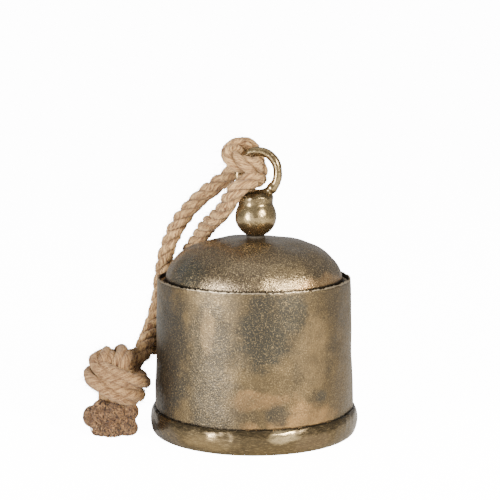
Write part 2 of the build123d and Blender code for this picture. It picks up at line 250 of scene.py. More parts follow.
@dataclass(frozen=True)
class Fibres:
    """Many thin closed tubes in one mesh."""

    sides: int = 3
    upright: float = 0.8

    def build(self, name: str, paths: np.ndarray, radii: np.ndarray) -> Piece:
        """Build the mesh: a small polygon round each path point, tubes closed at both tips.

        Args:
            name: the piece's name.
            paths: places in millimetres, fibre by point by axis.
            radii: radius in millimetres, fibre by point.

        Returns:
            The new object.
        """
        count, steps, _ = paths.shape
        along = unit(np.gradient(paths, axis=1))
        helper = np.where(np.abs(along[:, :1, 2:]) < self.upright, [[[0.0, 0.0, 1.0]]], [[[1.0, 0.0, 0.0]]])
        side = unit(np.cross(along, helper))
        over = np.cross(along, side)
        angle = TURN * np.arange(self.sides) / self.sides
        wave = np.cos(angle)[:, None] * side[:, :, None] + np.sin(angle)[:, None] * over[:, :, None]
        points = paths[:, :, None] + wave * radii[:, :, None, None]
        per_fibre = steps * self.sides
        start = per_fibre * np.arange(count)[:, None, None]
        quads = (start + grid_faces(steps, self.sides)[None]).reshape(-1, 4)
        tip = np.arange(self.sides)[::-1]
        tips = np.stack([tip, per_fibre - self.sides + tip[::-1]])
        caps = (start + tips[None]).reshape(-1, self.sides)
        return make_piece(name, points.reshape(-1, 3), quads.tolist() + caps.tolist())


# ---- surfaces --------------------------------------------------------------------------
class Graph:
    """Node tree that is being wired."""

    def __init__(self, tree: bpy.types.NodeTree) -> None:
        """Keep the tree.

        Args:
            tree: the node tree to wire.
        """
        self.tree = tree

    def add(self, kind: str, inputs: dict | None = None, **settings: object) -> bpy.types.Node:
        """Add a node.

        Args:
            kind: node type.
            inputs: socket name or number to a constant, or to a socket to be joined to it.
            settings: node properties.

        Returns:
            The new node.
        """
        node = self.tree.nodes.new(kind)
        for key, value in settings.items():
            setattr(node, key, value)
        for key, value in (inputs or {}).items():
            if isinstance(value, Socket):
                self.tree.links.new(value, node.inputs[key])
            else:
                node.inputs[key].default_value = value
        return node

    def noise(self, place: Socket, scale: float, detail: float = 3,
              roughness: float = 0.55, warp: float = 0) -> Socket:
        """Cloudy noise from 0 to 1.

        Args:
            place: where the noise is read.
            scale: features per unit.
            detail: number of finer layers.
            roughness: strength of the finer layers.
            warp: how far the noise is pulled about.

        Returns:
            The noise value.
        """
        node = self.add("ShaderNodeTexNoise", {
            "Vector": place, "Scale": scale, "Detail": detail, "Roughness": roughness,
            "Distortion": warp,
        })
        return node.outputs["Fac"]

    def math(self, operation: str, a: object, b: object = 0.0) -> Socket:
        """Arithmetic on two values.

        Args:
            operation: math node operation.
            a: first value or socket.
            b: second value or socket.

        Returns:
            The result.
        """
        return self.add("ShaderNodeMath", {0: a, 1: b}, operation=operation).outputs[0]

    def swing(self, place: Socket, scale: float, *layers: float) -> Socket:
        """Cloudy noise from -0.5 to 0.5.

        Args:
            place: where the noise is read.
            scale: features per unit.
            layers: detail and roughness of the noise.

        Returns:
            The noise value.
        """
        return self.math("SUBTRACT", self.noise(place, scale, *layers), 0.5)

    def blend(self, a: Socket, b: Socket, share: float) -> Socket:
        """Weighted mean of two values.

        Args:
            a: first value.
            b: second value.
            share: weight of the first.

        Returns:
            The mean.
        """
        return self.math("ADD", self.math("MULTIPLY", a, share), self.math("MULTIPLY", b, 1 - share))

    def window(self, value: Socket, low: float, high: float,
               bottom: float = 0.0, top: float = 1.0) -> Socket:
        """Smooth step between two values.

        Args:
            value: the value read.
            low: value at which the result is at its bottom.
            high: value at which the result is at its top.
            bottom: the result there.
            top: the result there.

        Returns:
            The stepped value.
        """
        node = self.add("ShaderNodeMapRange", {
            "Value": value, "From Min": low, "From Max": high, "To Min": bottom, "To Max": top,
        }, interpolation_type="SMOOTHSTEP")
        return node.outputs["Result"]

    def mix(self, factor: object, a: object, b: object) -> Socket:
        """Mix of two colours.

        Args:
            factor: share of the second colour.
            a: first colour or socket.
            b: second colour or socket.

        Returns:
            The mixed colour.
        """
        node = self.add("ShaderNodeMix", {MIX_FACTOR: factor, MIX_A: a, MIX_B: b}, data_type="RGBA")
        return node.outputs[MIX_RESULT]

    def place(self) -> Socket:
        """Place on the piece in metres.

        Returns:
            The object coordinates.
        """
        return self.add("ShaderNodeTexCoord").outputs["Object"]


def new_surface(name: str) -> tuple[bpy.types.Material, Graph]:
    """Material with an empty node tree.

    Args:
        name: the material's name.

    Returns:
        The material and the graph to wire.
    """
    material = bpy.data.materials.new(name)
    material.use_nodes = True
    material.node_tree.nodes.clear()
    return material, Graph(material.node_tree)


def rgba(colour: Triple) -> tuple[float, float, float, float]:
    """Opaque colour.

    Args:
        colour: red, green and blue.

    Returns:
        The colour with its alpha.
    """
    return (*colour, 1.0)


def new_group(name: str, inputs: dict[str, str], outputs: dict[str, str]) -> bpy.types.NodeTree:
    """Node group with the given sockets.

    Args:
        name: the group's name.
        inputs: socket name to socket type.
        outputs: socket name to socket type.

    Returns:
        The new group.
    """
    group = bpy.data.node_groups.new(name, "ShaderNodeTree")
    for direction, sockets in (("INPUT", inputs), ("OUTPUT", outputs)):
        for socket, kind in sockets.items():
            group.interface.new_socket(socket, in_out=direction, socket_type=kind)
    return group


@dataclass(frozen=True)
class PatinaEffect:
    """Aged metal: clouds of tarnish, worn flecks and a fine sandy grain."""

    cloud_scale: float = 24.0
    blotch_scale: float = 75.0
    grain_scale: float = 620.0
    fleck_scale: float = 1150.0
    cloud_window: Pair = (0.40, 0.62)
    blotch_window: Pair = (0.38, 0.66)
    fleck_window: Pair = (0.50, 0.74)
    pit_window: Pair = (0.50, 0.30)
    pit_share: float = 0.55
    cloud_layers: Triple = (4, 0.6, 0.4)
    blotch_layers: Pair = (4, 0.65)
    grain_layers: Pair = (3, 0.6)
    fleck_layers: Pair = (2, 0.6)
    cloud_share: float = 0.6
    grain_share: float = 0.6

    def build(self) -> bpy.types.NodeTree:
        """Wire the group.

        Returns:
            A group that gives Color, Grain and Height from three colours, the wear and a place.
        """
        group = new_group(
            "patina",
            {"Place": "NodeSocketVector", "Dark": "NodeSocketColor", "Middle": "NodeSocketColor",
             "Fleck": "NodeSocketColor", "Wear": "NodeSocketFloat"},
            {"Color": "NodeSocketColor", "Grain": "NodeSocketFloat", "Height": "NodeSocketFloat"},
        )
        graph = Graph(group)
        given = graph.add("NodeGroupInput").outputs
        place = given["Place"]
        cloud = graph.noise(place, self.cloud_scale, *self.cloud_layers)
        cloud = graph.window(cloud, *self.cloud_window)
        blotch = graph.noise(place, self.blotch_scale, *self.blotch_layers)
        blotch = graph.window(blotch, *self.blotch_window)
        grain = graph.noise(place, self.grain_scale, *self.grain_layers)
        fleck = graph.noise(place, self.fleck_scale, *self.fleck_layers)
        tone = graph.blend(cloud, blotch, self.cloud_share)
        base = graph.mix(tone, given["Dark"], given["Middle"])
        worn = graph.math("MULTIPLY", graph.window(fleck, *self.fleck_window), given["Wear"])
        base = graph.mix(worn, base, given["Fleck"])
        pits = graph.math("MULTIPLY", graph.window(fleck, *self.pit_window), self.pit_share)
        base = graph.mix(pits, base, given["Dark"])
        height = graph.blend(grain, fleck, self.grain_share)
        graph.add("NodeGroupOutput", {"Color": base, "Grain": grain, "Height": height})
        return group


@dataclass(frozen=True)
class SpotEffect:
    """Soft-edged uneven patch round a place."""

    edge_scale: float = 60.0
    edge_warp: float = 1.5
    edge_layers: Pair = (4, 0.65)
    fade: Pair = (1.0, 0.5)

    def build(self) -> bpy.types.NodeTree:
        """Wire the group.

        Returns:
            A group that gives a Mask: 1 at the centre, 0 outside the reach, uneven at its edge.
        """
        group = new_group(
            "spot",
            {"Place": "NodeSocketVector", "Centre": "NodeSocketVector", "Shrink": "NodeSocketVector"},
            {"Mask": "NodeSocketFloat"},
        )
        graph = Graph(group)
        given = graph.add("NodeGroupInput").outputs
        away = graph.add(
            "ShaderNodeVectorMath", {0: given["Place"], 1: given["Centre"]}, operation="SUBTRACT"
        )
        scaled = graph.add(
            "ShaderNodeVectorMath", {0: away.outputs[0], 1: given["Shrink"]}, operation="MULTIPLY"
        )
        reach = graph.add("ShaderNodeVectorMath", {0: scaled.outputs[0]}, operation="LENGTH")
        uneven = graph.swing(given["Place"], self.edge_scale, *self.edge_layers)
        uneven = graph.math("MULTIPLY", uneven, self.edge_warp)
        reach = graph.math("ADD", reach.outputs["Value"], uneven)
        graph.add("NodeGroupOutput", {"Mask": graph.window(reach, *self.fade)})
        return group


@dataclass(frozen=True)
class Spot:
    """One coloured patch on a metal piece, in millimetres."""

    centre: Triple
    reach: Triple
    colour: Triple
    share: float

    def lay(self, graph: Graph, group: bpy.types.NodeTree, place: Socket, base: object) -> Socket:
        """Mix the patch over a colour.

        Args:
            graph: the material's graph.
            group: the spot effect.
            place: place on the piece.
            base: colour or socket under the patch.

        Returns:
            The mixed colour.
        """
        node = graph.add("ShaderNodeGroup", node_tree=group)
        graph.tree.links.new(place, node.inputs["Place"])
        node.inputs["Centre"].default_value = tuple(value * MM for value in self.centre)
        node.inputs["Shrink"].default_value = tuple(1 / (value * MM) for value in self.reach)
        mask = graph.math("MULTIPLY", node.outputs["Mask"], self.share)
        return graph.mix(mask, base, rgba(self.colour))


@dataclass(frozen=True)
class Band:
    """Level band of colour with a ragged edge, in millimetres above the mouth: rubbed wear with a painted
    highlight on the rim, and grime with painted shade in grooves and creases.
    """

    middle: float
    half: float
    ragged: float
    colour: Triple
    share: float
    edge_scale: float = 260.0
    core: float = 0.45

    def lay(self, graph: Graph, place: Socket, base: Socket) -> Socket:
        """Mix the band over a colour.

        Args:
            graph: the material's graph.
            place: place on the piece.
            base: colour under the band.

        Returns:
            The mixed colour.
        """
        height = graph.add("ShaderNodeSeparateXYZ", {0: place}).outputs["Z"]
        wander = graph.math("MULTIPLY", graph.swing(place, self.edge_scale), 2 * self.ragged * MM)
        away = graph.math("ADD", graph.math("SUBTRACT", height, self.middle * MM), wander)
        reach = graph.math("ABSOLUTE", away)
        mask = graph.window(reach, self.half * MM, self.half * self.core * MM, 0.0, self.share)
        return graph.mix(mask, base, rgba(self.colour))


@dataclass(frozen=True)
class Effects:
    """Node groups shared by the materials."""

    patina: bpy.types.NodeTree
    spot: bpy.types.NodeTree


@dataclass(frozen=True)
class AgedMetal:
    """Finish of one metal piece."""

    name: str
    slot: str
    dark: Triple
    middle: Triple
    fleck: Triple
    roughness: Pair
    bump: float
    metallic: float = 0.9
    worn: float = 0.75
    stretch: Triple = (1.0, 1.0, 1.0)
    spots: tuple[Spot, ...] = ()
    bands: tuple[Band, ...] = ()
    spot_in_dark: float = 0.35
    grain_window: Pair = (0.3, 0.7)

    def build(self, effects: Effects) -> bpy.types.Material:
        """Wire the material.

        Args:
            effects: the shared node groups.

        Returns:
            The new material.
        """
        material, graph = new_surface(self.name)
        place = graph.place()
        grain = graph.add("ShaderNodeMapping", {"Vector": place, "Scale": self.stretch}).outputs["Vector"]
        dark, middle = rgba(self.dark), rgba(self.middle)
        for spot in self.spots:
            middle = spot.lay(graph, effects.spot, place, middle)
        if self.spots:
            dark = graph.mix(self.spot_in_dark, dark, middle)
        patina = graph.add("ShaderNodeGroup", {
            "Place": grain, "Dark": dark, "Middle": middle, "Fleck": rgba(self.fleck),
            "Wear": self.worn,
        }, node_tree=effects.patina)
        colour = patina.outputs["Color"]
        for band in self.bands:
            colour = band.lay(graph, place, colour)
        roughness = graph.window(patina.outputs["Grain"], *self.grain_window, *self.roughness)
        bump = graph.add("ShaderNodeBump", {
            "Height": patina.outputs["Height"], "Strength": 1.0, "Distance": self.bump * MM,
        })
        shader = graph.add("ShaderNodeBsdfPrincipled", {
            "Base Color": colour, "Metallic": self.metallic, "Roughness": roughness,
            "Normal": bump.outputs["Normal"],
        })
        graph.add("ShaderNodeOutputMaterial", {"Surface": shader.outputs["BSDF"]})
        return material


@dataclass(frozen=True)
class Jute:
    """Finish of jute strands or loose fibre; it reads the fibre attribute laid along the yarns."""

    name: str
    slot: str
    light: Triple
    middle: Triple
    dark: Triple
    streak_scale: float = 3.0
    fine_ratio: float = 3.4
    patch_scale: float = 90.0
    streak_window: Pair = (0.43, 0.57)
    patch_share: float = 0.30
    hollow_share: float = 0.70
    bump: float = 0.35
    roughness: float = 0.9
    sheen: float = 0.08
    sheen_roughness: float = 0.5
    coarse_layers: Pair = (4, 0.7)
    fine_layers: Pair = (2, 0.6)
    patch_layers: Pair = (3, 0.6)
    coarse_share: float = 0.7
    patch_window: Pair = (0.35, 0.65)

    def build(self) -> bpy.types.Material:
        """Wire the material: streaks along the yarns over slow changes of tone.

        Returns:
            The new material.
        """
        material, graph = new_surface(self.name)
        along = graph.add("ShaderNodeAttribute", attribute_name="fibre").outputs["Vector"]
        coarse = graph.noise(along, self.streak_scale, *self.coarse_layers)
        fine = graph.noise(along, self.streak_scale * self.fine_ratio, *self.fine_layers)
        streak = graph.blend(coarse, fine, self.coarse_share)
        patch = graph.noise(graph.place(), self.patch_scale, *self.patch_layers)
        patch = graph.window(patch, *self.patch_window, 0.0, self.patch_share)
        colour = graph.mix(graph.window(streak, *self.streak_window), rgba(self.dark), rgba(self.light))
        colour = graph.mix(patch, colour, rgba(self.middle))
        # The hollow attribute pulls the colour towards the dark one: painted shade in the rope, the knot
        # and the tuft cores, and random tone on the tuft fibres.
        hollow = graph.add("ShaderNodeAttribute", attribute_name="hollow").outputs["Fac"]
        colour = graph.mix(graph.math("MULTIPLY", hollow, self.hollow_share), colour, rgba(self.dark))
        bump = graph.add("ShaderNodeBump", {"Height": streak, "Strength": 1.0, "Distance": self.bump * MM})
        shader = graph.add("ShaderNodeBsdfPrincipled", {
            "Base Color": colour, "Roughness": self.roughness, "Normal": bump.outputs["Normal"],
            "Sheen Weight": self.sheen, "Sheen Roughness": self.sheen_roughness,
        })
        graph.add("ShaderNodeOutputMaterial", {"Surface": shader.outputs["BSDF"]})
        return material


def fit(piece: Piece, material: bpy.types.Material, slot: str, *stands_for: str) -> Piece:
    """Give a piece of the bell's body its material, in place of its plain nodes.

    Args:
        piece: the piece.
        material: what it wears.
        slot: the record's material slot; not used.
        stands_for: the plain nodes that it replaces, if any.

    Returns:
        The piece.
    """
    piece.data.materials.clear()
    piece.data.materials.append(material)
    if stands_for:
        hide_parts(*stands_for)
    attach(piece, Body.BELL.value)
    return piece


# ---- finishes --------------------------------------------------------------------------
# Painted shade with grime: a near-black band in the groove round the crown's foot, and in the crease where
# the bead meets the wall.
GROOVE_SHADE_AND_GRIME: Triple = (0.018, 0.014, 0.010)
# Rubbed wear with a painted highlight: a pale band along the top of the rim.
RIM_WEAR_AND_HIGHLIGHT: Triple = (0.62, 0.52, 0.37)
WALL_METAL = AgedMetal(
    "aged_brass_wall", "wall", dark=(0.034, 0.030, 0.024), middle=(0.098, 0.069, 0.034),
    fleck=(0.36, 0.265, 0.130), roughness=(0.34, 0.52), bump=0.42, worn=0.46,
    spots=(
        Spot((-70, -38, 62), (30, 40, 80), (0.030, 0.028, 0.024), 0.95),
        Spot((-36, -70, 60), (26, 30, 80), (0.036, 0.030, 0.021), 0.90),
        # Golden tone with a painted highlight: a bright patch where the right lamp's highlight falls on the
        # wall.
        Spot((44, -66, 76), (20, 30, 44), (0.220, 0.150, 0.069), 0.95),
        Spot((36, -70, 22), (36, 30, 20), (0.300, 0.180, 0.072), 0.90),
        Spot((2, -78, 42), (28, 30, 10), (0.26, 0.155, 0.065), 0.80),
        Spot((-2, -78, 14), (14, 30, 14), (0.30, 0.175, 0.070), 0.75),
        Spot((8, -78, 92), (27, 30, 36), (0.028, 0.029, 0.025), 0.95),
        Spot((30, -72, 104), (15, 30, 22), (0.032, 0.033, 0.028), 0.90),
        Spot((52, -60, 12), (14, 30, 7), (0.05, 0.047, 0.038), 0.85),
        Spot((18, -78, 31), (14, 30, 10), (0.05, 0.044, 0.034), 0.90),
        Spot((52, -60, 42), (7, 30, 7), (0.05, 0.047, 0.038), 0.75),
        Spot((-36, -70, 92), (7, 30, 20), (0.145, 0.098, 0.048), 0.60),
    ),
    bands=(
        # Rubbed wear with a painted highlight along the rim.
        Band(125.4, 1.1, 0.6, RIM_WEAR_AND_HIGHLIGHT, 0.42),
        # Painted shade with grime in the crease just above the bead.
        Band(20.1, 0.8, 1.3, GROOVE_SHADE_AND_GRIME, 0.80),
    ),
)
CROWN_METAL = AgedMetal(
    "aged_brass_crown", "crown", dark=(0.064, 0.051, 0.037), middle=(0.125, 0.092, 0.056),
    fleck=(0.58, 0.445, 0.245), roughness=(0.22, 0.40), bump=0.50, worn=0.85,
    spots=(
        Spot((-52, -44, 134), (28, 28, 13), (0.055, 0.063, 0.055), 0.90),
        Spot((52, -44, 125), (42, 42, 10), (0.46, 0.270, 0.115), 0.90),
        Spot((20, -58, 134), (24, 30, 12), (0.24, 0.172, 0.088), 0.70),
    ),
    # Painted shade with grime in the groove round the crown's foot.
    bands=(Band(122.2, 3.9, 0.9, GROOVE_SHADE_AND_GRIME, 0.93, core=0.72),),
)
BEAD_METAL = AgedMetal(
    "aged_brass_bead", "bead", dark=(0.038, 0.030, 0.020), middle=(0.095, 0.068, 0.033),
    fleck=(0.21, 0.155, 0.078), roughness=(0.18, 0.32), bump=0.05, stretch=(0.25, 0.25, 1.3),
    spots=(
        Spot((-34, -76, 8), (28, 24, 7), (0.25, 0.175, 0.082), 0.6),
        Spot((44, -70, 8), (22, 20, 7), (0.15, 0.105, 0.060), 0.7),
        # Painted highlight: a bright patch on the filed flat at the front of the bead.
        Spot((21.7, -81, 14), (15, 20, 6), (0.50, 0.390, 0.220), 0.9),
        Spot((-72, -40, 8), (24, 30, 12), (0.075, 0.060, 0.044), 0.7),
    ),
    # Painted shade with grime along the top of the bead, where it meets the wall.
    bands=(Band(20.0, 0.9, 1.3, GROOVE_SHADE_AND_GRIME, 0.80),),
)
BRAZE_METAL = AgedMetal(
    "braze", "braze", dark=(0.025, 0.020, 0.014), middle=(0.065, 0.046, 0.026),
    fleck=(0.15, 0.105, 0.055), roughness=(0.55, 0.80), bump=0.3,
)
FINIAL_METAL = AgedMetal(
    "rubbed_brass_finial", "finial", dark=(0.13, 0.094, 0.048), middle=(0.235, 0.178, 0.095),
    fleck=(0.52, 0.400, 0.22), roughness=(0.19, 0.31), bump=0.05, worn=0.45,
    spots=(
        # Painted shade: the lower half of the ball is darkened.
        Spot((1.4, 0, 159), (40, 40, 14), (0.13, 0.075, 0.034), 0.85),
        # Painted shade: a dark band round the neck, between the ball and the ring.
        Spot((3.0, 0, 191), (40, 40, 9), (0.060, 0.044, 0.023), 0.92),
        Spot((3.3, 0, 214), (40, 40, 16), (0.130, 0.094, 0.046), 0.90),
    ),
)
# Painted contact shadow: the seat washer under the ball is made near-black to stand in for the shade where
# the ball sits on the crown.
SEAT_CONTACT_SHADE = AgedMetal(
    "painted_contact_shade", "hardware", dark=(0.012, 0.010, 0.008), middle=(0.035, 0.028, 0.020),
    fleck=(0.060, 0.045, 0.030), roughness=(0.75, 0.95), bump=0.2, metallic=0.3,
)
STEEL = AgedMetal(
    "dull_steel", "hardware", dark=(0.20, 0.19, 0.18), middle=(0.42, 0.41, 0.40),
    fleck=(0.60, 0.59, 0.57), roughness=(0.35, 0.55), bump=0.05,
)
ROD_METAL = AgedMetal(
    "brown_steel", "clapper_rod", dark=(0.12, 0.08, 0.055), middle=(0.30, 0.26, 0.22),
    fleck=(0.48, 0.44, 0.39), roughness=(0.38, 0.62), bump=0.08,
)
IRON = AgedMetal(
    "cast_iron_clapper", "clapper", dark=(0.045, 0.036, 0.030), middle=(0.12, 0.085, 0.062),
    fleck=(0.24, 0.19, 0.15), roughness=(0.50, 0.78), bump=0.35, metallic=0.7,
)
ROPE_JUTE = Jute(
    "jute_strand", "rope", light=(0.47, 0.300, 0.132), middle=(0.30, 0.172, 0.066),
    dark=(0.072, 0.030, 0.009), bump=0.9,
)
FRAYED_JUTE = Jute(
    "frayed_jute", "frayed", light=(0.32, 0.180, 0.076), middle=(0.14, 0.057, 0.021),
    dark=(0.014, 0.005, 0.002), streak_scale=0.6, bump=0.1,
)
LOOSE_JUTE = Jute(
    "loose_jute", "rope", light=(0.56, 0.36, 0.17), middle=(0.40, 0.23, 0.10), dark=(0.18, 0.09, 0.035),
    streak_scale=0.6, bump=0.05,
)


# ---- bell body -------------------------------------------------------------------------
@dataclass(frozen=True)
class Wall:
    """Rolled sheet wall with a worn, uneven rim and a brazed seam down the back."""

    sheet: float = 1.6
    rim_radius: float = 78.0
    foot_radius: float = 81.1
    height: float = 125.2
    wear: float = 0.45
    columns: int = 480
    rows: int = 64
    rim_rows: int = 5
    dents: Ripple = Ripple(46.0, 0.22, 11)
    facets: Ripple = Ripple(17.0, 0.06, 12)
    rim_waves: Ripple = Ripple(30.0, 0.22, 13)
    rim_nicks: Ripple = Ripple(3.2, 0.30, 14)
    rim_band: float = 3.0
    seam_width: float = 2.4
    seam_proud: float = 0.35
    seam_steps: int = 90
    seam_sides: int = 12
    seam_wobble: Ripple = Ripple(7.0, 0.18, 15)

    def outside(self, height: np.ndarray | float) -> np.ndarray | float:
        """Radius of the outside at a height.

        Args:
            height: height above the mouth in millimetres.

        Returns:
            The radius: the wall tapers evenly from foot to rim.
        """
        return self.foot_radius + (self.rim_radius - self.foot_radius) * height / self.height

    def outline(self) -> np.ndarray:
        """Closed outline of the sheet: up the outside, over the rounded rim, down the inside.

        Returns:
            (radius, height) in millimetres, one per row.
        """
        up = np.linspace(0, self.height - self.wear, self.rows)
        outer = np.stack([self.outside(up), up], axis=1)
        inner = np.stack([self.outside(up[::-1]) - self.sheet, up[::-1]], axis=1)
        turn = np.linspace(0, math.pi, self.rim_rows + 2)[1:-1]
        middle = self.outside(self.height) - self.sheet / 2
        over = np.stack([
            middle + self.sheet / 2 * np.cos(turn), self.height - self.wear + self.wear * np.sin(turn),
        ], axis=1)
        return np.concatenate([outer, over, inner])

    def build(self) -> Piece:
        """Build the wall: the turned outline, pushed in and out by dents, with a nicked rim.

        Returns:
            The new object.
        """
        piece = turned_piece("wall", self.outline(), self.columns)
        points = points_of(piece)
        radius = np.hypot(points[:, 0], points[:, 1])
        height = points[:, 2]
        skin = points.copy()
        skin[:, :2] *= (self.outside(height) / radius)[:, None]
        push = self.dents.at(skin) + self.facets.at(skin)
        push *= np.clip(height / self.rim_band, 0, 1)
        points[:, :2] *= (1 + push / radius)[:, None]
        near_rim = np.clip((height - self.height + self.rim_band) / self.rim_band, 0, 1) ** 2
        rim = np.stack([points[:, 0], points[:, 1], np.zeros(len(points))], axis=1)
        points[:, 2] += near_rim * (self.rim_waves.at(rim) + self.rim_nicks.at(rim))
        move_points(piece, points)
        return piece

    def build_seam(self) -> Piece:
        """Build the braze along the seam, standing a little proud of both faces.

        Returns:
            The new object.
        """
        up = np.linspace(0.0, self.height - self.rim_band, self.seam_steps)
        turn = TURN * np.arange(self.seam_sides) / self.seam_sides
        wobble = self.seam_wobble.at(np.stack([up, up * 0, up * 0], axis=1))
        thick = self.sheet / 2 + self.seam_proud
        middle = self.outside(up) - self.sheet / 2
        across = (self.seam_width / 2 + wobble)[:, None] * np.cos(turn)
        deep = middle[:, None] + thick * np.sin(turn)
        rows = np.stack([across, deep, np.broadcast_to(up[:, None], across.shape)], axis=2)
        faces = grid_faces(self.seam_steps, self.seam_sides).tolist()
        last = (self.seam_steps - 1) * self.seam_sides
        faces += [list(range(self.seam_sides))[::-1], list(range(last, last + self.seam_sides))]
        return make_piece("seam", rows.reshape(-1, 3), faces)

    def dress(self, effects: Effects) -> Piece:
        """Build the wall and its seam, in place of the plain ones.

        Args:
            effects: the shared node groups.

        Returns:
            The wall.
        """
        wall = fit(self.build(), WALL_METAL.build(effects), WALL_METAL.slot, "wall_shell")
        fit(self.build_seam(), BRAZE_METAL.build(effects), BRAZE_METAL.slot, "wall_seam")
        return wall


@dataclass(frozen=True)
class Crown:
    """Pressed crown with its flange, and the rough braze in the groove round it."""

    wall: Wall
    sheet: float = 1.6
    groove: float = 5.0
    flange_width: float = 4.87
    rise: float = 36.9
    flatness: float = 2.69
    shoulder: float = 2.11
    columns: int = 420
    rows: int = 56
    flange_rows: int = 4
    dents: Ripple = Ripple(34.0, 0.28, 21)
    facets: Ripple = Ripple(12.0, 0.07, 22)
    seat_radius: float = 12.0
    braze_leg: float = 2.2
    braze_bite: float = 1 / 3
    braze_rows: int = 6
    braze_hollow: float = 1.6
    braze_lumps: Ripple = Ripple(5.0, 0.28, 23)

    def flange_top(self) -> float:
        """Height of the flange.

        Returns:
            Height in millimetres above the mouth.
        """
        return self.wall.height - self.groove

    def dish(self, base_radius: float, base_height: float) -> np.ndarray:
        """Curve of the dish from the axis to its base: a flattened, square-shouldered dome.

        Args:
            base_radius: radius where the dish meets the flange.
            base_height: height of the flange's face.

        Returns:
            (radius, height) in millimetres, one per row.
        """
        turn = np.linspace(0, math.pi / 2, self.rows)
        radius = base_radius * np.sin(turn) ** (2 / self.flatness)
        height = base_height + self.rise * np.cos(turn) ** (2 / self.shoulder)
        return np.stack([radius, height], axis=1)

    def build(self) -> Piece:
        """Build the crown: outside of the dish, flange, and back along the inside.

        Returns:
            The new object.
        """
        top = self.flange_top()
        edge = self.wall.outside(top) - self.wall.sheet
        base = edge - self.flange_width
        outer = self.dish(base, top)
        inner = self.dish(base - self.sheet, top - self.sheet)[::-1]
        out = np.linspace(base, edge, self.flange_rows + 1)[1:]
        flange = np.stack([out, np.full(len(out), top)], axis=1)
        under = flange[::-1] - [0, self.sheet]
        outline = np.concatenate([outer, flange, under, inner])
        piece = turned_piece("crown", outline, self.columns, poles=True)
        points = points_of(piece)
        radius = np.hypot(points[:, 0], points[:, 1])
        inward = points * [1, 1, 0]
        calm = np.clip((radius - self.seat_radius) / self.seat_radius, 0, 1)
        calm *= np.clip((base - radius) / self.flange_width + 1, 0, 1)
        push = (self.dents.at(inward) + self.facets.at(inward)) * calm
        points += unit(points - [0, 0, top - self.rise]) * push[:, None]
        move_points(piece, points)
        return piece

    def build_braze(self) -> Piece:
        """Build the braze: a lumpy three-cornered ring in the corner of flange and wall.

        Returns:
            The new object.
        """
        top = self.flange_top()
        bite = self.sheet * self.braze_bite
        corner = self.wall.outside(top) - self.wall.sheet + bite
        slope = np.linspace(0, 1, self.braze_rows)
        face = np.stack([
            corner - self.braze_leg * (1 - slope) ** self.braze_hollow,
            top + self.braze_leg * slope**self.braze_hollow,
        ], axis=1)
        outline = np.concatenate([[(corner, top - bite)], face[:1] - [0, bite], face])
        piece = turned_piece("groove_braze", outline, self.columns)
        points = points_of(piece)
        lift = np.clip((points[:, 2] - top) / self.braze_leg, 0, 1)
        flat = points * [1, 1, 0]
        points[:, 2] += lift * self.braze_lumps.at(flat)
        move_points(piece, points)
        return piece

    def dress(self, effects: Effects) -> Piece:
        """Build the crown and its braze, in place of the plain ones.

        Args:
            effects: the shared node groups.

        Returns:
            The crown.
        """
        crown = fit(self.build(), CROWN_METAL.build(effects), CROWN_METAL.slot, "crown_dome")
        fit(self.build_braze(), bpy.data.materials[BRAZE_METAL.name], BRAZE_METAL.slot, "crown_braze")
        return crown


@dataclass(frozen=True)
class FiledFlat:
    """Flat hammered or filed on the bead."""

    azimuth: float
    tilt: float
    depth: float


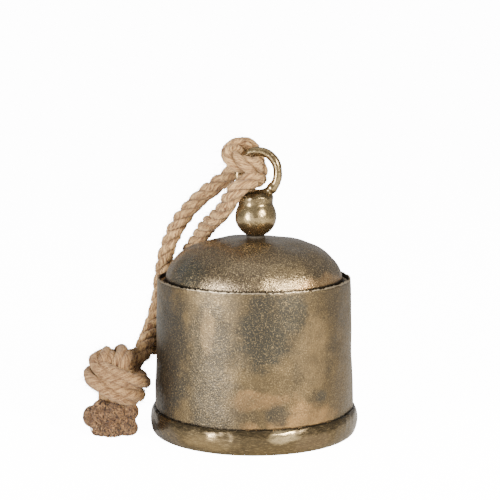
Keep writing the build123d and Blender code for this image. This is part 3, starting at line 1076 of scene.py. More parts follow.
@dataclass(frozen=True)
class Bead:
    """Half-round hoop round the mouth, hammered down in places."""

    wall: Wall
    height: float = 19.8
    bulge: float = 3.4
    land: float = 0.85
    sink: float = 0.5
    columns: int = 480
    rows: int = 34
    dents: Ripple = Ripple(24.0, 0.20, 31)
    facets: Ripple = Ripple(8.0, 0.07, 32)
    edge_nicks: Ripple = Ripple(6.0, 0.20, 33)
    edge_from: float = 0.8
    flats: tuple[FiledFlat, ...] = (
        FiledFlat(15.0, 46.0, 0.62),
        FiledFlat(31.0, 16.0, 0.30),
        FiledFlat(-9.0, 6.0, 0.25),
        FiledFlat(48.0, 38.0, 0.40),
        FiledFlat(-47.0, 30.0, 0.35),
        FiledFlat(-80.0, 20.0, 0.40),
        FiledFlat(92.0, 30.0, 0.45),
        FiledFlat(140.0, 12.0, 0.40),
        FiledFlat(-150.0, 35.0, 0.45),
    )

    def outline(self) -> np.ndarray:
        """Closed outline of the hoop: a half ellipse whose foot is cut flat.

        Returns:
            (radius, height) in millimetres, one per row.
        """
        tall = self.height / (1 + math.sqrt(1 - (self.land / self.bulge) ** 2))
        middle = self.height - tall
        turn = np.linspace(-math.asin(middle / tall), math.pi / 2, self.rows)
        arc = np.stack([
            self.wall.foot_radius + self.bulge * np.cos(turn), middle + tall * np.sin(turn),
        ], axis=1)
        back = self.wall.outside(self.height) - self.sink
        return np.concatenate([arc, [(back, self.height), (back, self.height / 2), (back, 0.0)]])

    def build(self) -> Piece:
        """Build the bead: the turned hoop, made uneven, then cut back to each flat's plane.

        Returns:
            The new object.
        """
        piece = turned_piece("bead", self.outline(), self.columns)
        points = points_of(piece)
        radius = np.hypot(points[:, 0], points[:, 1])
        outer = np.clip((radius - self.wall.foot_radius) / self.bulge, 0, 1)
        push = outer * (self.dents.at(points) + self.facets.at(points))
        points[:, :2] *= (1 + push / radius)[:, None]
        upper = np.clip((points[:, 2] / self.height - self.edge_from) / (1 - self.edge_from), 0, 1)
        points[:, 2] += upper * self.edge_nicks.at(points * [1, 1, 0])
        for flat in self.flats:
            points = self.cut(points, flat)
        move_points(piece, points)
        return piece

    def cut(self, points: np.ndarray, flat: FiledFlat) -> np.ndarray:
        """Press what stands past a flat's plane back onto the plane.

        Args:
            points: places in millimetres, one per row.
            flat: the flat's direction, tilt and depth.

        Returns:
            The places after the cut.
        """
        turn, tilt = math.radians(flat.azimuth), math.radians(flat.tilt)
        way = np.array([
            math.sin(turn) * math.cos(tilt), -math.cos(turn) * math.cos(tilt), math.sin(tilt),
        ])
        outer = np.hypot(points[:, 0], points[:, 1]) > self.wall.foot_radius - self.sink / 2
        reach = (points @ way)[outer].max() - flat.depth
        past = np.where(outer, np.maximum(points @ way - reach, 0), 0)
        return points - past[:, None] * way

    def dress(self, effects: Effects) -> Piece:
        """Build the bead, in place of the plain one.

        Args:
            effects: the shared node groups.

        Returns:
            The bead.
        """
        return fit(self.build(), BEAD_METAL.build(effects), BEAD_METAL.slot, "mouth_bead")


# ---- hanger ----------------------------------------------------------------------------
@dataclass(frozen=True)
class Hanger:
    """Ball, neck and ring, run together where they were brazed and rubbed smooth."""

    axis_x: float = 1.4
    ball_radius: float = 16.7
    ball_height: float = 174.285
    seat_height: float = 158.7
    neck_radius: float = 14.4
    neck_top: float = 193.0
    waist: float = 13.9
    ring_x: float = 3.3
    ring_height: float = 209.3
    ring_turn: float = 12.0
    bend: float = 15.9
    stretch: float = 2.4
    rod: float = 7.5
    shoulder_out: float = 11.3
    shoulder_height: float = 197.2
    shoulder_radius: float = 4.6
    waist_low: float = 1.2
    waist_high: float = 2.6
    head_slope: float = 2.6
    head_round: float = 3.0
    head_cap: float = 0.4
    squareness: float = 8.0
    columns: int = 96
    ball_rows: int = 40
    ring_steps: int = 160
    rod_sides: int = 24
    blob_rows: int = 14
    blob_columns: int = 20
    voxel: float = 0.55
    melt_steps: int = 24
    melt_share: float = 0.6
    dents: Ripple = Ripple(9.0, 0.07, 41)
    pits: Ripple = Ripple(2.6, 0.014, 42)

    def ball_outline(self) -> np.ndarray:
        """Outline of ball and neck: the ball's arc, a hollow root, and a spreading head.

        Returns:
            (radius, height) in millimetres, from the seat up, starting and ending on the axis.
        """
        low = math.asin((self.seat_height - self.ball_height) / self.ball_radius)
        root = math.acos(self.neck_radius / self.ball_radius)
        turn = np.linspace(low, root, self.ball_rows)
        arc = np.stack([
            self.ball_radius * np.cos(turn), self.ball_height + self.ball_radius * np.sin(turn),
        ], axis=1)
        cap = self.neck_top + self.head_cap
        top = [
            (self.waist, arc[-1, 1] + self.waist_low), (self.waist, arc[-1, 1] + self.waist_high),
            (self.neck_radius, self.neck_top - self.head_slope), (self.neck_radius - self.head_round, cap),
            (0.0, cap),
        ]
        return np.concatenate([[(0.0, self.seat_height)], arc, top])

    def ring_points(self) -> np.ndarray:
        """Centreline of the ring: two half circles with short straights between.

        Returns:
            Places in millimetres, one per row.
        """
        turn = TURN * np.arange(self.ring_steps) / self.ring_steps
        across = self.bend * np.cos(turn)
        up = self.bend * np.sin(turn) + self.stretch / 2 * np.tanh(np.sin(turn) * self.squareness)
        way = math.radians(self.ring_turn)
        return np.stack([
            self.ring_x + across * math.cos(way), -across * math.sin(way), self.ring_height + up,
        ], axis=1)

    def shoulders(self) -> list[Piece]:
        """Two small balls of braze that fill the corners between the neck and the ring.

        Returns:
            The new objects.
        """
        turn = np.linspace(-math.pi / 2, math.pi / 2, self.blob_rows)
        outline = self.shoulder_radius * np.stack([np.cos(turn), np.sin(turn)], axis=1)
        way = math.radians(self.ring_turn)
        made = []
        for out in (-self.shoulder_out, self.shoulder_out):
            blob = turned_piece("shoulder", outline, self.blob_columns, poles=True)
            centre = (self.ring_x + out * math.cos(way), -out * math.sin(way), self.shoulder_height)
            move_points(blob, points_of(blob) + centre)
            made.append(blob)
        return made

    def build(self) -> Piece:
        """Build ball, neck and ring as one skin: joined, remeshed finely, then eased together.

        Returns:
            The new object.
        """
        ball = turned_piece("hanger", self.ball_outline(), self.columns, poles=True)
        move_points(ball, points_of(ball) + [self.axis_x, 0, 0])
        line = self.ring_points()
        along = unit(np.roll(line, -1, axis=0) - np.roll(line, 1, axis=0))
        facing = unit(np.cross(along[0], along[self.ring_steps // 4]))
        turn = TURN * np.arange(self.rod_sides) / self.rod_sides
        side = np.cross(along, facing)
        section = np.cos(turn)[:, None] * side[:, None] + np.sin(turn)[:, None] * facing[None, None]
        points = line[:, None] + self.rod / 2 * section
        faces = grid_faces(self.ring_steps, self.rod_sides, wrap_rows=True).tolist()
        ring = make_piece("ring", points.reshape(-1, 3), faces)
        joined = [ball, ring, *self.shoulders()]
        with bpy.context.temp_override(
            active_object=ball, object=ball, selected_objects=joined, selected_editable_objects=joined,
        ):
            bpy.ops.object.join()
        remesh = ball.modifiers.new("skin", "REMESH")
        remesh.mode = "VOXEL"
        remesh.voxel_size = self.voxel * MM
        ease = ball.modifiers.new("melt", "SMOOTH")
        ease.factor = self.melt_share
        ease.iterations = self.melt_steps
        skin = evaluated_mesh(ball)
        ball.modifiers.clear()
        ball.data = skin
        skin.name = "hanger"
        skin.polygons.foreach_set("use_smooth", np.ones(len(skin.polygons), bool))
        points = points_of(ball)
        push = self.dents.at(points) + self.pits.at(points)
        push *= np.clip(points[:, 2] - self.seat_height - 1, 0, 1)
        move_points(ball, points + normals_of(ball) * push[:, None])
        return ball

    def dress(self, effects: Effects) -> Piece:
        """Build the hanger, in place of the plain ball and ring.

        Args:
            effects: the shared node groups.

        Returns:
            The hanger.
        """
        return fit(
            self.build(), FINIAL_METAL.build(effects), FINIAL_METAL.slot, "hanger_ball", "hanger_ring",
        )


# ---- rope ------------------------------------------------------------------------------
@dataclass(frozen=True)
class Lay:
    """How the three strands of the rope are laid."""

    rope: float = 14.0
    ring_thick: float = 14.4
    knot_thick: float = 15.0
    strands: int = 3
    pitch: float = 37.0
    knot_pitch: float = 150.0
    step: float = 1.0
    sides: int = 32
    yarns: int = 9
    yarn_turn: float = 0.33
    yarn_ridge: float = 0.27
    yarn_wander: Ripple = Ripple(14.0, 0.16, 52)
    strand_share: Pair = (0.50, 0.40)
    radial_share: Pair = (0.49, 0.58)
    tangent_share: float = 0.59
    lumps: Ripple = Ripple(9.0, 0.38, 51)
    scruff: Ripple = Ripple(2.4, 0.15, 53, spread=0.6)
    # knot_shade, inside_from, valley_shade and valley_from set painted shade on the strands.
    knot_shade: float = 0.62
    first_side: Triple = (0.3, 0.2, 1.0)
    wander_drift: float = 0.3
    lump_share: float = 0.5
    fibre_stretch: float = 0.05
    strand_offset: float = 3.7
    inside_from: float = 0.35
    valley_shade: float = 0.8
    valley_from: float = 0.2

    def resample(self, line: np.ndarray) -> np.ndarray:
        """Points an even step apart along a line.

        Args:
            line: places in millimetres, one per row.

        Returns:
            Places in millimetres, one per row.
        """
        gone = np.concatenate([[0], np.cumsum(np.linalg.norm(np.diff(line, axis=0), axis=1))])
        wanted = np.linspace(0, gone[-1], max(2, round(gone[-1] / self.step)))
        return np.stack([np.interp(wanted, gone, line[:, axis]) for axis in range(3)], axis=1)

    def frames(self, line: np.ndarray) -> tuple[np.ndarray, np.ndarray, np.ndarray]:
        """Directions that travel along a line without twisting about it.

        Args:
            line: evenly spaced places, one per row.

        Returns:
            Along, side and over, one of each per row.
        """
        along = unit(np.gradient(line, axis=0))
        side = np.empty_like(line)
        side[0] = unit(np.cross(along[0], self.first_side))
        for row in range(1, len(line)):
            kept = side[row - 1] - along[row] * (side[row - 1] @ along[row])
            side[row] = kept / np.linalg.norm(kept)
        return along, side, np.cross(along, side)

    def build(self, name: str, line: np.ndarray, thick: np.ndarray, wound: np.ndarray,
              opened: np.ndarray) -> Piece:
        """Build the strands: each an oval tube wound right-handed round the rope's line.

        Args:
            name: the piece's name.
            line: evenly spaced places in millimetres, one per row.
            thick: the rope's diameter at each place.
            wound: turn of the strands about the line at each place, in radians.
            opened: how far the strands run into each other at each place, from 0 to 1.

        Returns:
            The new object, with fibre and hollow attributes.
        """
        along, side, over = self.frames(line)
        gone = self.step * np.arange(len(line))
        start = TURN * np.arange(self.strands)[:, None] / self.strands
        wind = start + wound
        radial = np.cos(wind)[..., None] * side + np.sin(wind)[..., None] * over
        tangent = np.cross(np.broadcast_to(along, radial.shape), radial)
        half = thick / 2
        centre_share = np.interp(opened, (0, 1), self.strand_share)
        radial_share = np.interp(opened, (0, 1), self.radial_share)
        middle = line + radial * (half * centre_share)[:, None]
        turn = TURN * np.arange(self.sides) / self.sides
        yarn = turn[None, :] + (self.yarn_turn * gone)[:, None]
        yarn += self.yarn_wander.at(np.stack([gone, gone * self.wander_drift], axis=1))[:, None]
        valley = np.cos(self.yarns * yarn)
        ridge = self.yarn_ridge * valley
        lump = self.lumps.at(middle.reshape(-1, 3)).reshape(middle.shape[:2])
        swell = ridge + lump[..., None] * self.lump_share
        out = (half * radial_share)[None, :, None] + swell
        wide = (half * self.tangent_share)[None, :, None] + swell
        points = (
            middle[:, :, None]
            + (out * np.cos(turn))[..., None] * radial[:, :, None]
            + (wide * np.sin(turn))[..., None] * tangent[:, :, None]
        )
        points += self.scruff.at(points)[..., None] * unit(points - middle[:, :, None])
        per_strand = len(line) * self.sides
        first = per_strand * np.arange(self.strands)[:, None, None]
        quads = (first + grid_faces(len(line), self.sides)[None]).reshape(-1, 4)
        tip = np.arange(self.sides)
        caps = (first + np.stack([tip[::-1], per_strand - self.sides + tip])[None]).reshape(-1, self.sides)
        piece = make_piece(name, points.reshape(-1, 3), quads.tolist() + caps.tolist())
        length = np.broadcast_to(gone[:, None] * self.fibre_stretch, yarn.shape)
        fibre = np.stack([np.cos(yarn), np.sin(yarn), length], axis=2)
        fibre = fibre[None] + np.arange(self.strands)[:, None, None, None] * self.strand_offset
        # Painted shade: the strands darken on their inner sides where they press together, in the valleys
        # between the yarns, and all through the knot.
        inside = np.clip(self.inside_from - np.cos(turn), 0, 1)
        inside = inside + self.valley_shade * np.clip(-valley - self.valley_from, 0, 1)
        inside = np.clip(inside + self.knot_shade * opened[:, None], 0, 1)
        hollow = np.broadcast_to(inside, points.shape[:3])
        lay_attributes(piece, fibre.reshape(-1, 3), hollow.ravel())
        return piece


def lay_attributes(piece: Piece, fibre: np.ndarray, hollow: np.ndarray) -> None:
    """Store what the jute finishes read.

    Args:
        piece: the mesh object.
        fibre: place in the yarns' own space, one per point.
        hollow: how far the colour is darkened, from 0 to 1, one per point: painted shade in the rope and
            the tuft cores, and random tone on the tuft fibres.
    """
    along = piece.data.attributes.new("fibre", "FLOAT_VECTOR", "POINT")
    along.data.foreach_set("vector", np.ascontiguousarray(fibre, np.float32).ravel())
    inside = piece.data.attributes.new("hollow", "FLOAT", "POINT")
    inside.data.foreach_set("value", np.ascontiguousarray(hollow, np.float32))


@dataclass(frozen=True)
class RopeHalf:
    """Half of the rope, from the middle of its round turn on the ring to its frayed end."""

    name: str
    route: tuple[Triple, ...]
    stands_for: tuple[str, ...]
    leaves_ring: float
    meets_knot: float
    phase: float


# The round turn on the ring, from the front leg to the back leg, in the bell's axes.
HITCH: tuple[Triple, ...] = (
    (-20.34, -2.03, 186.0), (-14.53, -11.75, 197.6), (-1.19, -11.01, 205.0),
    (4.85, 22.67, 203.0), (1.9, 21.9, 220.0), (-4.9, 12.6, 230.6),
    (-17.4, 2.83, 229.6), (-21.2, -9.19, 221.0), (-1.38, -10.97, 214.2),
    (3.26, 10.85, 215.9), (-10.87, 15.08, 213.3), (-21.38, 18.54, 204.8),
)
MID_HITCH: Triple = (-1.5, 17.25, 225.3)
OUTER_LEG: tuple[Triple, ...] = (
    (-31.93, 22.01, 196.27), (-49.5, 32.0, 181.5), (-62.5, 41.0, 164.5), (-72.5, 48.0, 144.0),
    (-77.5, 52.0, 120.5), (-80.0, 48.5, 95.5), (-85.0, 38.0, 77.5), (-90.5, 21.0, 66.0),
    (-92.5, 6.0, 57.5),
)
INNER_LEG: tuple[Triple, ...] = (
    (-26.1, 7.62, 175.37), (-35.0, 22.0, 167.5), (-44.5, 43.0, 153.0), (-55.0, 62.0, 136.0),
    (-65.5, 71.0, 119.0), (-72.0, 71.0, 100.0), (-73.5, 63.5, 79.5), (-80.0, 47.0, 63.5),
    (-91.0, 29.0, 55.5), (-102.5, 15.0, 54.0),
)
KNOT_CENTRE: Triple = (-109.7, -10.0, 47.5)
# Both legs through the knot, from its centre: in at the back, round the left side, across the
# front, round the right side and the back, over the top, and down inside to the frayed end.
OUTER_KNOT: tuple[Triple, ...] = (
    (6.0, 7.0, 1.0), (-13.0, 9.0, -2.0), (-23.5, 1.0, -0.5), (-19.0, -13.5, -2.5),
    (-4.0, -20.0, -9.5), (9.5, -17.5, -16.0), (15.5, -6.0, -17.0), (13.0, 8.0, -16.0),
    (3.0, 18.0, -14.0), (-10.0, 23.0, -6.0), (-15.0, 18.0, 6.0), (-8.5, 8.0, 14.5),
    (-8.5, -7.0, 12.5), (-8.0, -3.0, 3.0), (-8.5, -1.0, -10.0), (-9.5, -3.5, -25.0),
    (-11.0, -5.0, -34.0),
)
INNER_KNOT: tuple[Triple, ...] = (
    (-4.0, 13.0, 9.0), (-14.0, 9.0, 11.0), (-18.5, -2.0, 9.8), (-11.0, -13.5, 4.4),
    (4.0, -18.5, 0.7), (15.5, -14.0, -4.6), (20.0, -2.0, -6.0), (16.5, 12.0, -8.0),
    (7.0, 22.0, -4.0), (-2.0, 26.0, 2.0), (-2.0, 20.0, 12.0), (4.5, 8.0, 15.0),
    (4.0, -9.0, 12.0), (-1.0, -8.0, 3.0), (-2.0, -5.0, -9.0), (0.0, -5.0, -24.0),
    (2.0, -6.0, -34.0),
)


def from_knot(route: tuple[Triple, ...]) -> tuple[Triple, ...]:
    """Places given from the knot's centre, in the bell's axes.

    Args:
        route: places in millimetres from the knot's centre.

    Returns:
        Places in millimetres.
    """
    return tuple(tuple(a + b for a, b in zip(KNOT_CENTRE, point)) for point in route)


@dataclass(frozen=True)
class Fuzz:
    """Stray fibres that stand off the rope."""

    per_millimetre: float = 5.0
    points: int = 6
    length: Pair = (3.0, 11.0)
    radius: float = 0.07
    lift: float = 0.42
    curl: float = 0.5
    flare: float = 0.2
    root_depth: float = 0.92
    taper: float = 1.15
    tone_spread: float = 40.0
    seed: int = 61

    def build(self, name: str, line: np.ndarray, thick: np.ndarray) -> Piece:
        """Build the fibres: short bent hairs that leave the rope's surface at a low angle.

        Args:
            name: the piece's name.
            line: evenly spaced places along the rope in millimetres.
            thick: the rope's diameter at each place.

        Returns:
            The new object.
        """
        dice = np.random.default_rng(self.seed + len(line))
        count = int(len(line) * self.per_millimetre)
        row = dice.integers(2, len(line) - 2, count)
        along = unit(line[row + 1] - line[row - 1])
        outward = unit(np.cross(along, dice.normal(size=(count, 3))))
        heading = unit(along * dice.choice([-1, 1], count)[:, None] + outward * self.lift
                       + dice.normal(0, self.curl / 2, (count, 3)))
        share = np.linspace(0, 1, self.points)[None, :, None]
        reach = dice.uniform(*self.length, count)[:, None, None]
        bend = dice.normal(0, self.curl, (count, 1, 3)) + outward[:, None] * self.flare
        root = line[row] + outward * (thick[row] / 2 * self.root_depth)[:, None]
        paths = root[:, None] + share * reach * heading[:, None] + share**2 * reach * bend / 2
        radii = self.radius * (self.taper - share[..., 0]) * np.ones((count, 1))
        piece = Fibres().build(name, paths, radii)
        each = self.points * Fibres().sides
        spread = np.repeat(dice.uniform(0, self.tone_spread, (count, 3)), each, axis=0)
        lay_attributes(piece, spread, np.zeros(len(spread)))
        return piece


@dataclass(frozen=True)
class Tuft:
    """One mop of loosened fibre, in millimetres from the knot's centre."""

    centre: Triple
    reach: Triple


@dataclass(frozen=True)
class FrayedEnd:
    """Frayed end of the rope: tufts of curled fibre round soft cores."""

    name: str
    stands_for: str
    tufts: tuple[Tuft, ...]
    seed: int
    fibres: int = 1150
    points: int = 7
    radius: float = 0.29
    step: float = 1.1
    core_share: float = 0.78
    core_lumps: Ripple = Ripple(5.0, 0.8, 71)
    core_grain: Ripple = Ripple(1.7, 0.35, 72)
    core_rows: int = 28
    core_columns: int = 40
    core_streaks: float = 1.5
    core_shade: float = 0.95
    root_depth: Pair = (0.70, 0.96)
    outward_pull: float = 0.8
    wander: float = 0.55
    wander_share: float = 0.7
    outmost: float = 1.08
    thickness: Pair = (0.6, 1.25)
    tone_spread: float = 60.0
    floor: float = 0.4

    def build_core(self) -> Piece:
        """Build the cores: a lumpy ball in the middle of each tuft, painted nearly black as the shade
        between the fibres.

        Returns:
            The new object.
        """
        parts, faces, rows, columns = [], [], self.core_rows, self.core_columns
        tilt = math.pi * np.arange(1, rows) / rows
        turn = TURN * np.arange(columns) / columns
        ball = np.stack([
            np.outer(np.sin(tilt), np.cos(turn)), np.outer(np.sin(tilt), np.sin(turn)),
            np.outer(np.cos(tilt), np.ones(columns)),
        ], axis=2).reshape(-1, 3)
        ball = np.concatenate([ball, [[0, 0, 1], [0, 0, -1]]])
        column = np.arange(columns)
        beside = (column + 1) % columns
        last, top = (rows - 2) * columns, (rows - 1) * columns
        skin = grid_faces(rows - 1, columns).tolist()
        skin += np.stack([np.full(columns, top), beside, column], axis=1).tolist()
        skin += np.stack([np.full(columns, top + 1), last + column, last + beside], axis=1).tolist()
        for number, tuft in enumerate(self.tufts):
            centre = np.add(KNOT_CENTRE, tuft.centre)
            points = centre + ball * np.multiply(tuft.reach, self.core_share)
            points += ball * (self.core_lumps.at(points) + self.core_grain.at(points))[:, None]
            points[:, 2] = np.maximum(points[:, 2], self.floor)
            faces += [[corner + number * len(ball) for corner in face] for face in skin]
            parts.append(points)
        places = np.concatenate(parts)
        piece = make_piece(self.name + "_core", places, faces)
        # Painted shade: the cores are darkened almost to the dark colour, so the gaps between the fibres
        # look shaded.
        lay_attributes(piece, places * self.core_streaks, np.full(len(places), self.core_shade))
        return piece

    def build_fibres(self) -> Piece:
        """Build the fibres: short random walks that start in each core and end in its skin.

        Returns:
            The new object.
        """
        dice = np.random.default_rng(self.seed)
        paths = []
        for tuft in self.tufts:
            centre = np.add(KNOT_CENTRE, tuft.centre)
            reach = np.array(tuft.reach)
            outward = unit(dice.normal(size=(self.fibres, 3)))
            depth = dice.uniform(*self.root_depth, (self.fibres, 1))
            root = centre + outward * reach * depth
            walk = unit(dice.normal(size=(self.fibres, 1, 3)) + outward[:, None] * self.outward_pull)
            jitter = dice.normal(0, self.wander, (self.fibres, self.points, 3))
            steps = unit(walk + np.cumsum(jitter, axis=1) * self.wander_share) * self.step
            path = root[:, None] + np.cumsum(steps, axis=1)
            away = (path - centre) / reach
            far = np.maximum(np.linalg.norm(away, axis=2, keepdims=True) / self.outmost, 1)
            paths.append(centre + away / far * reach)
        line = np.concatenate(paths)
        line[..., 2] = np.maximum(line[..., 2], self.floor)
        thin = self.radius * dice.uniform(*self.thickness, (len(line), 1)) * np.ones((1, self.points))
        piece = Fibres().build(self.name, line, thin)
        each = self.points * Fibres().sides
        spread = np.repeat(dice.uniform(0, self.tone_spread, (len(line), 3)), each, axis=0)
        shade = np.repeat(dice.uniform(0, 1, len(line)) ** 2, each)
        lay_attributes(piece, spread, shade)
        return piece

    def dress(self) -> list[Piece]:
        """Build the end, in place of the plain one.

        Returns:
            The fibres and the cores.
        """
        material = bpy.data.materials.get(FRAYED_JUTE.name) or FRAYED_JUTE.build()
        return [
            fit(self.build_fibres(), material, FRAYED_JUTE.slot, self.stands_for),
            fit(self.build_core(), material, FRAYED_JUTE.slot),
        ]


LEFT_END = FrayedEnd("frayed_left", "rope_end_left", (
    Tuft((-21.5, -7.0, -34.0), (6.5, 8.0, 8.0)),
    Tuft((-13.0, -11.0, -29.0), (8.0, 8.0, 9.0)),
    Tuft((-12.5, -12.0, -41.0), (9.0, 10.0, 8.5)),
    Tuft((-4.0, -16.0, -40.5), (9.0, 9.5, 8.8)),
), seed=81)
RIGHT_END = FrayedEnd("frayed_right", "rope_end_right", (
    Tuft((-2.0, -13.0, -29.0), (8.5, 8.0, 7.5)),
    Tuft((8.5, -9.0, -29.5), (7.5, 7.5, 7.5)),
    Tuft((6.0, -13.0, -38.0), (8.0, 9.0, 8.0)),
    Tuft((7.5, -11.0, -42.5), (8.0, 9.0, 6.5)),
), seed=82)


@dataclass(frozen=True)
class Rope:
    """The jute rope: two halves that leave the ring, fall behind the bell and share one knot."""

    lay: Lay = Lay()
    fuzz: Fuzz = Fuzz()
    ease: float = 26.0
    spline_steps: int = 24
    halves: tuple[RopeHalf, RopeHalf] = (
        RopeHalf(
            "rope_inner", (MID_HITCH, *HITCH[4::-1], *INNER_LEG, *from_knot(INNER_KNOT)),
            ("rope_leg_inner", "rope_hitch"), 100.0, 292.0, 0.0,
        ),
        RopeHalf(
            "rope_outer", (MID_HITCH, *HITCH[5:], *OUTER_LEG, *from_knot(OUTER_KNOT)),
            ("rope_leg_outer", "rope_knot"), 88.0, 280.0, math.pi,
        ),
    )

    def spline(self, route: tuple[Triple, ...]) -> np.ndarray:
        """Points read back from a NURBS curve whose control points are the route.

        Args:
            route: control points in millimetres.

        Returns:
            Places in millimetres, one per row.
        """
        curve = bpy.data.curves.new("rope_line", "CURVE")
        curve.dimensions = "3D"
        line = curve.splines.new("NURBS")
        line.points.add(len(route) - 1)
        places = np.ones((len(route), 4))
        places[:, :3] = np.array(route) * MM
        line.points.foreach_set("co", places.ravel())
        line.order_u = 3
        line.use_endpoint_u = True
        line.resolution_u = self.spline_steps
        holder = bpy.data.objects.new("rope_line", curve)
        bpy.context.scene.collection.objects.link(holder)
        read = evaluated_mesh(holder)
        points = np.empty(len(read.vertices) * 3)
        read.vertices.foreach_get("co", points)
        bpy.data.objects.remove(holder)
        bpy.data.meshes.remove(read)
        return points.reshape(-1, 3) / MM

    def shape_along(self, half: RopeHalf, count: int) -> tuple[np.ndarray, np.ndarray, np.ndarray]:
        """Diameter and winding along a half: spread on the ring, and opened in the knot.

        Args:
            half: the half of the rope.
            count: number of evenly spaced places.

        Returns:
            Diameter in millimetres, strand turn in radians and how far the strands are opened,
            one of each per place.
        """
        gone = self.lay.step * np.arange(count)
        on_ring = np.clip((half.leaves_ring - gone) / self.ease, 0, 1)
        in_knot = np.clip((gone - half.meets_knot) / self.ease, 0, 1)
        thick = self.lay.rope + (self.lay.ring_thick - self.lay.rope) * on_ring
        thick += (self.lay.knot_thick - self.lay.rope) * in_knot
        rate = 1 / self.lay.pitch + (1 / self.lay.knot_pitch - 1 / self.lay.pitch) * in_knot
        return thick, half.phase + TURN * np.cumsum(rate) * self.lay.step, in_knot

    def dress(self) -> list[Piece]:
        """Returns:
            The two halves.
        """
        strand, loose = ROPE_JUTE.build(), LOOSE_JUTE.build()
        made = []
        for half, end in zip(self.halves, (RIGHT_END, LEFT_END)):
            line = self.lay.resample(self.spline(half.route))
            thick, wound, opened = self.shape_along(half, len(line))
            piece = self.lay.build(half.name, line, thick, wound, opened)
            hairs = self.fuzz.build(half.name + "_fuzz", line, thick)
            fit(piece, strand, ROPE_JUTE.slot, *half.stands_for)
            fit(hairs, loose, LOOSE_JUTE.slot)
            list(end.dress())
            made.append(piece)
        return made


# ---- inside ----------------------------------------------------------------------------
@dataclass(frozen=True)
class Fittings:
    """Fixings and clapper, which keep their plain shapes and take their finishes."""

    steel: tuple[str, ...] = ("hanger_stud", "crown_washer", "spring_washer", "crown_nut")
    # The seat washer wears the painted contact shadow under the ball.
    dark: tuple[str, ...] = ("seat_washer",)
    brown: tuple[str, ...] = (
        "clapper_eye", "clapper_link", "clapper_rod", "clapper_collar", "clapper_washer", "clapper_nut",
    )
    iron: tuple[str, ...] = ("clapper_ball",)

    def dress(self, effects: Effects) -> int:
        """Put the finishes on.

        Args:
            effects: the shared node groups.

        Returns:
            How many pieces were dressed.
        """
        sets = ((self.steel, STEEL), (self.brown, ROD_METAL), (self.iron, IRON), (self.dark, SEAT_CONTACT_SHADE))
        for names, finish in sets:
            material = bpy.data.materials.get(finish.name) or finish.build(effects)
            for name in names:
                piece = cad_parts[name]
                piece.data.materials.clear()
                piece.data.materials.append(material)
        return sum(len(names) for names, _ in sets)


# ---- studio ----------------------------------------------------------------------------
@dataclass(frozen=True)
class Lamp:
    """Soft box: where it stands and how strong it is."""

    name: str
    azimuth: float
    elevation: float
    distance: float
    width: float
    height: float
    power: float
    aim: Triple = (0.0, 0.0, 0.10)
    colour: Triple = (1.0, 0.985, 0.96)

    def build(self) -> Piece:
        """Hang the lamp, facing its aim.

        Returns:
            The lamp.
        """
        light = bpy.data.lights.new(self.name, "AREA")
        light.shape = "RECTANGLE"
        light.size, light.size_y = self.width, self.height
        light.energy = self.power
        light.color = self.colour
        lamp = bpy.data.objects.new(self.name, light)
        turn, lift = math.radians(self.azimuth), math.radians(self.elevation)
        lamp.location = (
            self.aim[0] + self.distance * math.sin(turn) * math.cos(lift),
            self.aim[1] - self.distance * math.cos(turn) * math.cos(lift),
            self.aim[2] + self.distance * math.sin(lift),
        )
        lamp.rotation_euler = (math.pi / 2 - lift, 0, turn)
        bpy.context.scene.collection.objects.link(lamp)
        return lamp


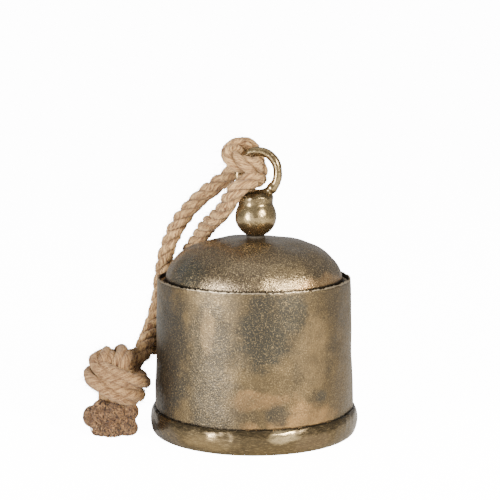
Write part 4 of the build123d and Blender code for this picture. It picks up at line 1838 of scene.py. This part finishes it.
@dataclass(frozen=True)
class Studio:
    """Camera, floor, lamps and the light round them."""

    camera_place: Triple = (-0.00329, -1.092, 0.30744)
    camera_pitch: float = 8.371
    lens: float = 98.585
    film: float = 36.0
    floor_size: float = 12.0
    floor_colour: Triple = (0.93, 0.93, 0.93)
    floor_glow: float = 13.5
    floor_roughness: float = 0.9
    sky: float = 0.52
    seen_sky: float = 14.0
    lamps: tuple[Lamp, ...] = (
        Lamp("left_box", -44.0, 6.0, 1.5, 0.32, 0.6, 60.0, colour=(1.0, 0.97, 0.92)),
        Lamp("right_box", 41.0, 22.0, 1.5, 0.28, 0.42, 58.0, colour=(1.0, 0.92, 0.78)),
        Lamp("top_box", 0.0, 80.0, 1.6, 1.4, 1.4, 7.0),
    )

    def build_camera(self) -> Piece:
        """Set up the camera.

        Returns:
            The camera.
        """
        data = bpy.data.cameras.new("camera")
        data.lens = self.lens
        data.sensor_width = self.film
        camera = bpy.data.objects.new("camera", data)
        camera.location = self.camera_place
        camera.rotation_euler = (math.pi / 2 - math.radians(self.camera_pitch), 0, 0)
        bpy.context.scene.collection.objects.link(camera)
        bpy.context.scene.camera = camera
        return camera

    def build_floor(self) -> Piece:
        """Lay the floor under the mouth; it cannot be seen from below.

        Returns:
            The floor.
        """
        half = self.floor_size / 2 / MM
        corners = np.array([(-half, -half, 0), (half, -half, 0), (half, half, 0), (-half, half, 0)])
        floor = make_piece("floor", corners, [[0, 1, 2, 3]], smooth=False)
        material = bpy.data.materials.new("floor")
        material.use_nodes = True
        shader = material.node_tree.nodes["Principled BSDF"]
        shader.inputs["Base Color"].default_value = rgba(self.floor_colour)
        shader.inputs["Roughness"].default_value = self.floor_roughness
        shader.inputs["Emission Color"].default_value = rgba((1.0, 1.0, 1.0))
        graph = Graph(material.node_tree)
        seen = graph.add("ShaderNodeLightPath").outputs["Is Camera Ray"]
        glow = graph.math("MULTIPLY", seen, self.floor_glow)
        material.node_tree.links.new(glow, shader.inputs["Emission Strength"])
        below = graph.add("ShaderNodeNewGeometry").outputs["Backfacing"]
        clear = graph.add("ShaderNodeBsdfTransparent").outputs["BSDF"]
        shown = graph.add("ShaderNodeMixShader", {0: below, 1: shader.outputs["BSDF"], 2: clear})
        material.node_tree.links.new(
            shown.outputs["Shader"], material.node_tree.nodes["Material Output"].inputs["Surface"]
        )
        floor.data.materials.append(material)
        return floor

    def light(self) -> None:
        """Hang the lamps and set the even light that comes from all round."""
        for lamp in self.lamps:
            lamp.build()
        world = bpy.data.worlds.new("studio")
        bpy.context.scene.world = world
        world.use_nodes = True
        world.node_tree.nodes.clear()
        graph = Graph(world.node_tree)
        seen = graph.add("ShaderNodeLightPath").outputs["Is Camera Ray"]
        strength = graph.window(seen, 0.0, 1.0, self.sky, self.seen_sky)
        sky = graph.add("ShaderNodeBackground", {"Color": rgba((1.0, 1.0, 1.0)), "Strength": strength})
        graph.add("ShaderNodeOutputWorld", {"Surface": sky.outputs["Background"]})


def main() -> None:
    """Build the studio, the rope and the bell in order, and log the face count of each bell piece."""
    logging.basicConfig(level=logging.INFO, format="%(message)s")
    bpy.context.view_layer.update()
    studio = Studio()
    studio.build_camera()
    Rope().dress()
    effects = Effects(PatinaEffect().build(), SpotEffect().build())
    wall = Wall()
    for piece in (
        wall.dress(effects), Crown(wall).dress(effects), Bead(wall).dress(effects), Hanger().dress(effects),
    ):
        LOG.info("%s: %d faces", piece.name, len(piece.data.polygons))
    LOG.info("%d fittings dressed", Fittings().dress(effects))
    studio.build_floor()
    studio.light()


if __name__ == "__main__":
    main()
